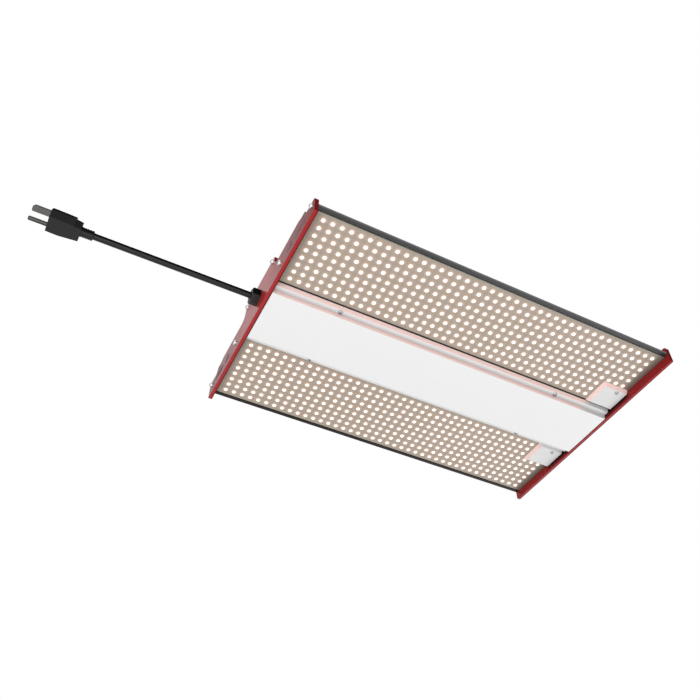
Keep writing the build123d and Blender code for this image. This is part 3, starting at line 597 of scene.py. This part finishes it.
def softened(node, material, slot, width, segments=2):
    """A node's shape with bevelled edges, standing for the node."""
    shape = merged_copy(node)
    bmesh.ops.dissolve_limit(shape, angle_limit=math.radians(1.0), verts=shape.verts, edges=shape.edges)
    for face in shape.faces:
        face.smooth = True
    piece = piece_from(node + "_shell", shape, material, slot, node)
    bevel_edges(piece, width, segments, 35)
    flatten_normals(piece)
    return piece


def bevel_edges(piece, width, segments, degrees):
    """Round the edges where faces meet at more than an angle."""
    bevel = piece.modifiers.new("edges", "BEVEL")
    bevel.width = width
    bevel.segments = segments
    bevel.limit_method = "ANGLE"
    bevel.angle_limit = math.radians(degrees)


def flatten_normals(piece):
    """Shade large faces flat, so that only the narrow bevels look round."""
    flat = piece.modifiers.new("flat faces", "WEIGHTED_NORMAL")
    flat.weight = 100


def lathe(profile, segments):
    """Closed bmesh turned about the Z axis from (radius, height) pairs, which start and end on the axis."""
    shape = bmesh.new()
    rings = []
    for radius, height in profile:
        if radius == 0:
            rings.append([shape.verts.new((0, 0, height))])
            continue
        turns = [2 * math.pi * index / segments for index in range(segments)]
        rings.append([shape.verts.new((radius * math.cos(a), radius * math.sin(a), height)) for a in turns])
    for lower, upper in zip(rings, rings[1:]):
        for index in range(segments):
            after = (index + 1) % segments
            corners = [lower[index % len(lower)], lower[after % len(lower)],
                       upper[after % len(upper)], upper[index % len(upper)]]
            shape.faces.new(list(dict.fromkeys(corners)))
    bmesh.ops.recalc_face_normals(shape, faces=shape.faces)
    return shape


def smooth_by_angle(mesh, degrees):
    """Smooth shading, with creases where faces meet at more than an angle."""
    shape = bmesh.new()
    shape.from_mesh(mesh)
    for face in shape.faces:
        face.smooth = True
    for edge in shape.edges:
        edge.smooth = len(edge.link_faces) == 2 and edge.calc_face_angle() < math.radians(degrees)
    shape.to_mesh(mesh)
    shape.free()


def arc_points(radius, height, steps, centre_radius, centre_height):
    """Quarter ellipse, from its side to its top, as (radius, height) pairs."""
    points = []
    for index in range(steps + 1):
        turn = math.pi / 2 * index / steps
        points.append((centre_radius + radius * math.cos(turn), centre_height + height * math.sin(turn)))
    return points


def evaluated_mesh(piece, name):
    """Plain mesh of a piece with its modifiers."""
    graph = bpy.context.evaluated_depsgraph_get()
    mesh = bpy.data.meshes.new_from_object(piece.evaluated_get(graph))
    mesh.name = name
    return mesh


def cut(piece, cutter):
    """Take one shape from another."""
    boolean = piece.modifiers.new("cut", "BOOLEAN")
    boolean.operation = "DIFFERENCE"
    boolean.object = cutter
    boolean.solver = "EXACT"
    mesh = evaluated_mesh(piece, piece.name)
    piece.modifiers.remove(boolean)
    piece.data = mesh
    bpy.data.objects.remove(cutter)


def scratch_object(name, shape):
    """Object that is used while a piece is made."""
    mesh = bpy.data.meshes.new(name)
    shape.to_mesh(mesh)
    shape.free()
    made = bpy.data.objects.new(name, mesh)
    bpy.context.scene.collection.objects.link(made)
    return made


def block_shape(low, high):
    """Box bmesh between two corners."""
    shape = bmesh.new()
    bmesh.ops.create_cube(shape, size=1.0)
    size = Vector(high) - Vector(low)
    bmesh.ops.scale(shape, vec=size, verts=shape.verts)
    bmesh.ops.translate(shape, vec=(Vector(high) + Vector(low)) / 2, verts=shape.verts)
    return shape


# Geometry nodes

def scatter_tree(name, material):
    """Node tree that puts a turned, scaled copy of a prototype on every point."""
    tree = bpy.data.node_groups.new(name, "GeometryNodeTree")
    face = tree.interface
    face.new_socket("Geometry", in_out="INPUT", socket_type="NodeSocketGeometry")
    face.new_socket("Prototype", in_out="INPUT", socket_type="NodeSocketObject")
    face.new_socket("Turn", in_out="INPUT", socket_type="NodeSocketRotation")
    size = face.new_socket("Size", in_out="INPUT", socket_type="NodeSocketFloat")
    size.default_value = 1.0
    face.new_socket("Geometry", in_out="OUTPUT", socket_type="NodeSocketGeometry")
    given = tree.nodes.new("NodeGroupInput")
    result = tree.nodes.new("NodeGroupOutput")
    fetch = tree.nodes.new("GeometryNodeObjectInfo")
    place = tree.nodes.new("GeometryNodeInstanceOnPoints")
    realize = tree.nodes.new("GeometryNodeRealizeInstances")
    finish = tree.nodes.new("GeometryNodeSetMaterial")
    finish.inputs["Material"].default_value = material
    links = tree.links
    links.new(given.outputs["Geometry"], place.inputs["Points"])
    links.new(given.outputs["Prototype"], fetch.inputs["Object"])
    links.new(fetch.outputs["Geometry"], place.inputs["Instance"])
    links.new(given.outputs["Turn"], place.inputs["Rotation"])
    links.new(given.outputs["Size"], place.inputs["Scale"])
    links.new(place.outputs["Instances"], realize.inputs["Geometry"])
    links.new(realize.outputs["Geometry"], finish.inputs["Geometry"])
    links.new(finish.outputs["Geometry"], result.inputs["Geometry"])
    return tree


def scatter(name, prototype, places, material, slot, nodes, turn=(0.0, 0.0, 0.0)):
    """Make one piece with a copy of the prototype at every place."""
    mesh = bpy.data.meshes.new(name)
    mesh.from_pydata([tuple(place) for place in places], [], [])
    piece = bpy.data.objects.new(name, mesh)
    bpy.context.scene.collection.objects.link(piece)
    tree = scatter_tree(name + " scatter", material)
    sockets = {item.name: item.identifier for item in tree.interface.items_tree if item.in_out == "INPUT"}
    modifier = piece.modifiers.new("scatter", "NODES")
    modifier.node_group = tree
    modifier[sockets["Prototype"]] = prototype
    modifier[sockets["Turn"]] = turn
    modifier[sockets["Size"]] = 1.0
    plain = evaluated_mesh(piece, name)
    piece.modifiers.remove(modifier)
    piece.data = plain
    dress(piece, material, slot, *nodes)


# Pieces

# Head height and shank diameter of the screws
PLATE_SCREW = (2.9 * MM, 3.5 * MM)
COVER_SCREW = (1.9 * MM, 3.0 * MM)
TERMINAL_SCREW = (1.4 * MM, 3.0 * MM)
HOUSING_SCREW = (2.0 * MM, 3.5 * MM)


def pan_screw(head_diameter, head_height, shank_diameter, length):
    """Prototype of a cross-recessed pan-head screw: its head is below 0 and its shank above."""
    radius, shank = head_diameter / 2, shank_diameter / 2
    dome = arc_points(radius * 0.7, -head_height * 0.75, 6, radius * 0.3, -head_height * 0.25)
    profile = [(0, length), (shank * 0.8, length), (shank, length - shank * 0.4), (shank, 0), (radius, 0)]
    profile += dome + [(0, -head_height)]
    screw = scratch_object("screw prototype", lathe(profile, 40))
    arm_length, arm_width, depth = radius * 0.58, radius * 0.17, head_height * 0.55
    for turn in (0, math.pi / 2):
        arm = block_shape((-arm_length, -arm_width, -head_height - depth),
                          (arm_length, arm_width, -head_height + depth))
        bmesh.ops.rotate(arm, cent=(0, 0, 0), matrix=Matrix.Rotation(turn, 3, "Z"), verts=arm.verts)
        cut(screw, scratch_object("recess", arm))
    smooth_by_angle(screw.data, 35)
    return screw


def screws(node, axis, head_side, size, material, turn):
    """Screws of one node, where its solids are.

    axis is 0 to 2, head_side is -1 or 1, and size holds the head's height and the shank's diameter.
    """
    head_height, shank_diameter = size
    boxes = solid_boxes(node)
    places = []
    for low, high in boxes:
        place = (low + high) / 2
        end = low[axis] if head_side < 0 else high[axis]
        place[axis] = end - head_side * head_height
        places.append(place)
    low, high = boxes[0]
    length = high[axis] - low[axis] - head_height
    head_diameter = high[(axis + 1) % 3] - low[(axis + 1) % 3]
    prototype = pan_screw(head_diameter, head_height, shank_diameter, length)
    scatter(node + "_heads", prototype, places, material, "steel_screws", (node,), turn)
    bpy.data.objects.remove(prototype)


def about_cord_axis(shape, turn=0.0):
    """Turn a shape, made about the X axis, and move it onto the cord's axis."""
    matrix = Matrix.Translation((0, CORD_AXIS_Y, CORD_AXIS_Z)) @ Matrix.Rotation(turn, 4, "X")
    bmesh.ops.transform(shape, matrix=matrix, verts=shape.verts)
    return shape


def turned_on_x(profile, segments):
    """Lathe shape about the X axis from (radius, x) pairs."""
    shape = lathe(profile, segments)
    bmesh.ops.rotate(shape, cent=(0, 0, 0), matrix=Matrix.Rotation(math.pi / 2, 3, "Y"), verts=shape.verts)
    return shape


# Distance of each section of the plug from its face, half widths at its bottom, ridge and top, and their
# heights above the cord's axis, all in millimetres
PLUG_SECTIONS = (
    (0.0, (6.5, 12.2, 8.5), (-11.7, 4.5, 12.7)),
    (13.0, (6.5, 12.0, 8.5), (-12.1, 4.2, 12.6)),
    (26.1, (6.0, 11.0, 8.0), (-11.1, 3.6, 12.2)),
    (26.1, (5.8, 10.2, 7.0), (-11.1, 3.4, 10.3)),
    (33.5, (5.0, 8.6, 6.0), (-10.6, 3.0, 9.4)),
)
PLUG_TWIST = math.radians(57.0)
BOOT_RIBS = 5
BOOT_GROOVE = 0.35 * MM
BOOT_CHAMFER = 0.6 * MM
BLADE_WIDTH = 6.35 * MM
BLADE_THICKNESS = 1.5 * MM
BLADE_SPACING = 12.7 * MM
BLADE_RISE = 6.6 * MM
BLADE_BEVEL = 0.2 * MM
GROUND_PIN_DIAMETER = 4.8 * MM
GROUND_PIN_TIP = 1.2 * MM
GROUND_PIN_DROP = 11.9 * MM
GLAND_CAP_BEVEL = 0.35 * MM
GLAND_BODY_BEVEL = 0.3 * MM


def loft(shape, rings):
    """Faces between rings of vertices, and over the first and the last ring."""
    for near, far in zip(rings, rings[1:]):
        for index in range(len(near)):
            after = (index + 1) % len(near)
            shape.faces.new((near[index], near[after], far[after], far[index]))
    shape.faces.new(rings[0])
    shape.faces.new(rings[-1])


def plug_ring(shape, section, face_x):
    """Vertices of one section of the plug."""
    distance, half_widths, heights = section
    half = list(zip(half_widths, heights))
    ring = half + [(-y, z) for y, z in reversed(half)]
    return [shape.verts.new((face_x + distance * MM, y * MM, z * MM)) for y, z in ring]


def plug_shape():
    """Moulded plug, made with its ground pin down and then turned about the cord."""
    face_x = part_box("plug_body")[0].x
    shape = bmesh.new()
    loft(shape, [plug_ring(shape, section, face_x) for section in PLUG_SECTIONS])
    bmesh.ops.recalc_face_normals(shape, faces=shape.faces)
    return about_cord_axis(shape, PLUG_TWIST)


def plug_body_piece(finish, bevel_width):
    """Body of the plug with rounded edges."""
    body = piece_from("plug_moulding", plug_shape(), finish, "plug_black", "plug_body")
    bevel_edges(body, bevel_width, 3, 12)
    for polygon in body.data.polygons:
        polygon.use_smooth = True
    flatten_normals(body)
    return body


def boot_profile(low_x, high_x, radius):
    """Ribbed strain relief from the plug to the cord, as (radius, x) pairs."""
    pitch = (high_x - low_x) / BOOT_RIBS
    profile = [(0, low_x), (radius, low_x)]
    for index in range(1, BOOT_RIBS):
        middle = low_x + index * pitch
        for offset, depth in ((-0.26, 0.0), (-0.16, BOOT_GROOVE), (0.16, BOOT_GROOVE), (0.26, 0.0)):
            profile.append((radius - depth, middle + offset * pitch))
    return profile + [(radius, high_x - BOOT_CHAMFER), (radius - BOOT_CHAMFER, high_x), (0, high_x)]


def boot_piece(finish):
    """Ribbed boot between the plug and the cord."""
    low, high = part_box("plug_boot")
    shape = turned_on_x(boot_profile(low.x, high.x, (high.z - low.z) / 2), 40)
    boot = piece_from("plug_relief", about_cord_axis(shape), finish, "plug_black", "plug_boot")
    smooth_by_angle(boot.data, 40)
    return boot


def blade_outline(low_x, high_x):
    """Points (x, z) round one blade, whose tip has rounded corners."""
    half_width = BLADE_WIDTH / 2
    corner_length, corner_rise = half_width * 0.5, half_width * 0.35
    corner = [(low_x + corner_length * (1 - math.cos(turn)), half_width - corner_rise * (1 - math.sin(turn)))
              for turn in (math.pi / 2, math.pi / 4, 0.0)]
    return [(high_x, -half_width), (high_x, half_width)] + corner + [(x, -z) for x, z in reversed(corner)]


def blades_piece(finish):
    """Both flat blades."""
    low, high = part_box("plug_blades")
    outline = blade_outline(low.x, high.x)
    shape = bmesh.new()
    for centre_y in (-BLADE_SPACING / 2, BLADE_SPACING / 2):
        sides = (centre_y - BLADE_THICKNESS / 2, centre_y + BLADE_THICKNESS / 2)
        loft(shape, [[shape.verts.new((x, y, BLADE_RISE + z)) for x, z in outline] for y in sides])
    bmesh.ops.recalc_face_normals(shape, faces=shape.faces)
    blades = piece_from("blade_pair", about_cord_axis(shape, PLUG_TWIST), finish, "plated_blades",
                        "plug_blades")
    bevel_edges(blades, BLADE_BEVEL, 2, 30)
    return blades


def ground_pin_piece(finish):
    """Round ground pin, whose tip is nearly flat."""
    low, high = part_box("plug_ground_pin")
    radius = GROUND_PIN_DIAMETER / 2
    tip = [(across, low.x + GROUND_PIN_TIP - along) for across, along in
           arc_points(GROUND_PIN_TIP, GROUND_PIN_TIP, 4, radius - GROUND_PIN_TIP, 0.0)]
    shape = turned_on_x([(0, high.x), (radius, high.x)] + tip + [(0, low.x)], 32)
    bmesh.ops.translate(shape, vec=(0, 0, BLADE_RISE - GROUND_PIN_DROP), verts=shape.verts)
    pin = piece_from("ground_pin", about_cord_axis(shape, PLUG_TWIST), finish, "plated_blades",
                     "plug_ground_pin")
    smooth_by_angle(pin.data, 50)
    return pin


def cord_run(finish):
    """Straight cord from the gland to the plug's boot."""
    curve = bpy.data.curves.new("power_cord_run", "CURVE")
    curve.dimensions = "3D"
    spline = curve.splines.new("NURBS")
    stops = [CORD_HIGH.x + (CORD_LOW.x - CORD_HIGH.x) * share for share in (0.0, 0.25, 0.5, 0.75, 1.0)]
    spline.points.add(len(stops) - 1)
    for point, x in zip(spline.points, stops):
        point.co = (x, CORD_AXIS_Y, CORD_AXIS_Z, 1.0)
    spline.order_u = 3
    spline.use_endpoint_u = True
    curve.bevel_depth = CORD_DIAMETER / 2
    curve.bevel_resolution = 6
    curve.use_fill_caps = True
    return dress(bpy.data.objects.new("power_cord_run", curve), finish, "cord_black", "power_cord")


class PieceOperator(bpy.types.Operator):
    """Base of the operators that make pieces."""

    bl_options = {"REGISTER", "UNDO"}

    @classmethod
    def poll(cls, context):
        return context.scene is not None


class GROWLIGHT_OT_end_plates(PieceOperator):
    """Bevelled red end plates"""

    bl_idname = "growlight.end_plates"
    bl_label = "End plates"

    def execute(self, context):
        body = context.scene.growlight_body
        finish = enamel("red enamel", body.enamel)
        for node in ("end_plate_cord_end", "end_plate_far_end"):
            softened(node, finish, "red_gloss", body.plate_bevel)
        return {"FINISHED"}


class GROWLIGHT_OT_heatsinks(PieceOperator):
    """Finned heatsinks and the thermal pads on them"""

    bl_idname = "growlight.heatsinks"
    bl_label = "Heatsinks"

    def execute(self, context):
        body = context.scene.growlight_body
        softened("heatsink_front", extruded("front anodised", body.anodised), "black_anodised",
                 body.fin_bevel, 1)
        softened("heatsink_rear", extruded("rear anodised", body.anodised, body.painted_under_shade),
                 "black_anodised", body.fin_bevel, 1)
        paint(moulded("thermal pad", linear(148, 152, 158), 0.7), "thermal_pad_front", "thermal_pad_rear")
        return {"FINISHED"}


class GROWLIGHT_OT_light_boards(PieceOperator):
    """Light boards with their packages"""

    bl_idname = "growlight.light_boards"
    bl_label = "Light boards"

    def execute(self, context):
        board = context.scene.growlight_board
        mask = solder_mask("solder mask", board.mask, board.field, board.halo)
        paint(mask, "led_board_front", "led_board_rear")
        # Painted glow: the holders round the lenses glow faintly.
        holder_painted_glow = lit_lens("package holder", Vector((0.96, 0.80, 0.73)), 0.15)
        lens_finish = lit_lens("lit lens", board.lens, board.brightness)
        for side in ("front", "rear"):
            node = "led_packages_" + side
            boxes = solid_boxes(node)
            radius = (boxes[0][1].x - boxes[0][0].x) / 2
            places = [(low + high) / 2 for low, high in boxes]
            for place in places:
                place.z = boxes[0][1].z
            height = boxes[0][1].z - boxes[0][0].z
            drop = board.holder_height
            holder = scratch_object("holder prototype", lathe(
                [(0, 0), (radius, 0), (radius, -drop * 0.8), (radius * 0.96, -drop), (0, -drop)], 20))
            lens_radius = board.lens_diameter / 2
            lens_profile = [(0, -drop), (lens_radius, -drop)]
            lens_profile += arc_points(lens_radius, -(height - drop), 4, 0.0, -drop)[1:-1] + [(0, -height)]
            lens = scratch_object("lens prototype", lathe(lens_profile, 16))
            smooth_by_angle(lens.data, 60)
            scatter("package_holders_" + side, holder, places, holder_painted_glow, "led_yellow", (node,))
            scatter("package_lenses_" + side, lens, places, lens_finish, "led_yellow", ())
            for prototype in (holder, lens):
                bpy.data.objects.remove(prototype)
        return {"FINISHED"}


class GROWLIGHT_OT_covers(PieceOperator):
    """Centre cover and the two terminal covers"""

    bl_idname = "growlight.covers"
    bl_label = "Covers"

    def execute(self, context):
        body = context.scene.growlight_body
        cover = cover_coat("cover coat", body.cover, body.glow)
        softened("centre_cover", cover, "cover_white", body.sheet_bevel)
        small = terminal_coat("terminal cover coat", body.terminal, body.glow)
        for node in ("terminal_cover_front", "terminal_cover_rear"):
            softened(node, small, "terminal_white", body.sheet_bevel)
        return {"FINISHED"}


class GROWLIGHT_OT_screws(PieceOperator):
    """Visible screws of the plates, covers and housing"""

    bl_idname = "growlight.screws"
    bl_label = "Screws"

    def execute(self, context):
        finish = metal("bright screw", linear(205, 206, 208), 0.26)
        dull = metal("dull screw", linear(172, 174, 177), 0.34)
        quarter = math.pi / 2
        screws("end_plate_screws_cord_end", 0, -1, PLATE_SCREW, finish, (0.0, quarter, 0.0))
        screws("end_plate_screws_far_end", 0, 1, PLATE_SCREW, finish, (0.0, -quarter, 0.0))
        screws("centre_cover_screws", 2, -1, COVER_SCREW, dull, (0.0, 0.0, 0.0))
        screws("terminal_cover_screws", 2, -1, TERMINAL_SCREW, dull, (0.0, 0.0, 0.0))
        screws("housing_screws", 2, 1, HOUSING_SCREW, finish, (math.pi, 0.0, 0.0))
        paint(finish, "driver_screws", "earth_screw")
        return {"FINISHED"}


class GROWLIGHT_OT_cord(PieceOperator):
    """Cord with its gland and plug"""

    bl_idname = "growlight.cord"
    bl_label = "Cord"

    def execute(self, context):
        settings = context.scene.growlight_cord
        rubber = black_moulded("cord jacket", settings.jacket, 0.48, 900.0, 0.00004, (0.40, 0.62), 0.0)
        moulding = black_moulded("black moulding", settings.moulding, 0.42, 1500.0, 0.00003,
                                  (0.02, 0.28), 0.42)
        nickel = metal("nickel blade", settings.blade, 0.3, (60.0, 1.0, 1.0))

        run = cord_run(rubber)
        body = plug_body_piece(moulding, settings.plug_bevel)
        boot = boot_piece(moulding)
        blades = blades_piece(nickel)
        pin = ground_pin_piece(nickel)
        cap = softened("gland_cap", moulding, "gland_black", GLAND_CAP_BEVEL)
        flange = softened("gland_body", moulding, "gland_black", GLAND_BODY_BEVEL)
        paint(moulding, "gland_locknut")
        paint(rubber, "gland_seal", "cord_tail")

        return {"FINISHED"}


class GROWLIGHT_OT_housing(PieceOperator):
    """Driver housing, tray and driver"""

    bl_idname = "growlight.housing"
    bl_label = "Housing and driver"

    def execute(self, context):
        body = context.scene.growlight_body
        softened("driver_housing", extruded("housing anodised", body.anodised), "black_anodised",
                 body.fin_bevel)
        paint(metal("galvanised sheet", linear(172, 175, 178), 0.42), "driver_tray", "cover_standoffs")
        paint(metal("driver case", linear(186, 188, 190), 0.38, (40.0, 1.0, 1.0)), "driver_case")
        paint(powder("driver caps", linear(92, 93, 95)), "driver_end_caps")
        paint(circuit("driver board"), "driver_circuit_board")
        paint(moulded("components", linear(48, 48, 52), 0.4), "driver_components")
        return {"FINISHED"}


class GROWLIGHT_OT_wiring(PieceOperator):
    """Wires, lug, grommets and connectors"""

    bl_idname = "growlight.wiring"
    bl_label = "Wiring"

    def execute(self, context):
        paint(moulded("red insulation", linear(170, 32, 26), 0.4), "board_wires_front", "board_wires_rear")
        paint(moulded("brown insulation", linear(96, 56, 34), 0.4), "mains_wires")
        paint(moulded("green insulation", linear(60, 130, 52), 0.4), "earth_wire")
        paint(metal("tinned lug", linear(196, 196, 192), 0.3), "earth_lug")
        paint(moulded("grommet rubber", linear(40, 40, 41), 0.6), "wire_grommets")
        paint(moulded("connector body", linear(226, 226, 220), 0.4), "terminal_connector_front",
              "terminal_connector_rear")
        return {"FINISHED"}


SENSOR_WIDTH = 36.0
WHITE = (1.0, 1.0, 1.0, 1.0)
FLOOR_SIZE = 5.0
FLOOR_Z = -1.6
FLOOR_GLOW = 0.5


def area_lamp(name, place, target, size, power):
    """Square soft lamp."""
    data = bpy.data.lights.new(name, "AREA")
    data.shape = "SQUARE"
    data.size = size
    data.energy = power
    lamp = bpy.data.objects.new(name, data)
    bpy.context.scene.collection.objects.link(lamp)
    lamp.location = place
    lamp.rotation_mode = "QUATERNION"
    lamp.rotation_quaternion = (Vector(target) - Vector(place)).to_track_quat("-Z", "Y")
    lamp.visible_camera = False


def surroundings(ambient):
    """White for the camera and for reflections, softer as a light."""
    world = bpy.data.worlds.new("surroundings")
    world.use_nodes = True
    nodes, links = world.node_tree.nodes, world.node_tree.links
    nodes.clear()
    output = nodes.new("ShaderNodeOutputWorld")
    path = nodes.new("ShaderNodeLightPath")
    seen = nodes.new("ShaderNodeBackground")
    seen.inputs["Color"].default_value = WHITE
    soft = nodes.new("ShaderNodeBackground")
    soft.inputs["Color"].default_value = WHITE
    soft.inputs["Strength"].default_value = ambient
    either = nodes.new("ShaderNodeMath")
    either.operation = "MAXIMUM"
    shown = nodes.new("ShaderNodeMath")
    shown.operation = "MAXIMUM"
    mix = nodes.new("ShaderNodeMixShader")
    links.new(path.outputs["Is Camera Ray"], either.inputs[0])
    links.new(path.outputs["Is Transmission Ray"], either.inputs[1])
    links.new(either.outputs[0], shown.inputs[0])
    links.new(path.outputs["Is Glossy Ray"], shown.inputs[1])
    links.new(shown.outputs[0], mix.inputs["Fac"])
    links.new(soft.outputs[0], mix.inputs[1])
    links.new(seen.outputs[0], mix.inputs[2])
    links.new(mix.outputs[0], output.inputs["Surface"])
    bpy.context.scene.world = world


def pale_floor():
    """Floor that the camera and reflections see as nearly white."""
    shape = bmesh.new()
    bmesh.ops.create_grid(shape, x_segments=1, y_segments=1, size=FLOOR_SIZE)
    bmesh.ops.translate(shape, vec=(0, 0, FLOOR_Z), verts=shape.verts)
    mesh = bpy.data.meshes.new("floor")
    shape.to_mesh(mesh)
    shape.free()
    floor = bpy.data.objects.new("floor", mesh)
    bpy.context.scene.collection.objects.link(floor)
    recipe = Recipe("pale floor")
    path = recipe.node("ShaderNodeLightPath").outputs
    seen = recipe.math("MAXIMUM", path["Is Camera Ray"], path["Is Glossy Ray"])
    mesh.materials.append(recipe.surface(
        base_color=linear(246, 246, 246),
        roughness=0.8,
        emission_color=WHITE,
        emission_strength=recipe.times(seen, FLOOR_GLOW),
    ))


def place_camera(place, target, lens):
    """Camera with the photograph's viewing angle."""
    data = bpy.data.cameras.new("camera")
    data.lens = lens
    data.sensor_width = SENSOR_WIDTH
    camera = bpy.data.objects.new("camera", data)
    bpy.context.scene.collection.objects.link(camera)
    camera.location = place
    camera.rotation_mode = "QUATERNION"
    camera.rotation_quaternion = (Vector(target) - Vector(place)).to_track_quat("-Z", "Y")
    bpy.context.scene.camera = camera


class GROWLIGHT_OT_stage(PieceOperator):
    """Camera, lamps, surroundings and a pale floor"""

    bl_idname = "growlight.stage"
    bl_label = "Stage"

    def execute(self, context):
        stage = context.scene.growlight_stage
        surroundings(stage.ambient)
        middle = (0.0, 0.0, 0.02)
        area_lamp("low lamp", (-0.9, -1.1, -1.1), middle, size=1.6, power=22.0)
        area_lamp("fill lamp", (1.2, 0.6, -0.9), middle, size=1.4, power=6.0)
        area_lamp("top lamp", (0.5, -0.8, 1.6), middle, size=1.6, power=6.0)
        pale_floor()
        place_camera(stage.camera_place, stage.camera_target, stage.lens)
        context.scene.view_settings.view_transform = "Standard"
        return {"FINISHED"}


OPERATORS = (
    GROWLIGHT_OT_stage,
    GROWLIGHT_OT_cord,
    GROWLIGHT_OT_end_plates,
    GROWLIGHT_OT_heatsinks,
    GROWLIGHT_OT_light_boards,
    GROWLIGHT_OT_covers,
    GROWLIGHT_OT_screws,
    GROWLIGHT_OT_housing,
    GROWLIGHT_OT_wiring,
)
SETTINGS = {
    "growlight_body": BodySettings,
    "growlight_board": BoardSettings,
    "growlight_cord": CordSettings,
    "growlight_stage": StageSettings,
}


class GROWLIGHT_PT_panel(bpy.types.Panel):
    """Settings and operators of the grow light"""

    bl_idname = "GROWLIGHT_PT_panel"
    bl_label = "Grow light"
    bl_space_type = "VIEW_3D"
    bl_region_type = "UI"
    bl_category = "Grow light"

    def draw(self, context):
        layout = self.layout
        for name, group in SETTINGS.items():
            box = layout.box()
            for setting in group.__annotations__:
                box.prop(getattr(context.scene, name), setting)
        for operator in OPERATORS:
            layout.operator(operator.bl_idname)


def register():
    """Register the settings, operators and panel."""
    for name, group in SETTINGS.items():
        bpy.utils.register_class(group)
        setattr(bpy.types.Scene, name, PointerProperty(type=group))
    for operator in OPERATORS:
        bpy.utils.register_class(operator)
    bpy.utils.register_class(GROWLIGHT_PT_panel)


def unregister():
    """Undo register."""
    bpy.utils.unregister_class(GROWLIGHT_PT_panel)
    for operator in reversed(OPERATORS):
        bpy.utils.unregister_class(operator)
    for name, group in SETTINGS.items():
        delattr(bpy.types.Scene, name)
        bpy.utils.unregister_class(group)


def main():
    """Make every piece."""
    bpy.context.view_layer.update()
    register()
    bpy.ops.growlight.stage()
    bpy.ops.growlight.cord()
    bpy.ops.growlight.end_plates()
    bpy.ops.growlight.heatsinks()
    bpy.ops.growlight.light_boards()
    bpy.ops.growlight.covers()
    bpy.ops.growlight.screws()
    bpy.ops.growlight.housing()
    bpy.ops.growlight.wiring()


if __name__ == "__main__":
    main()
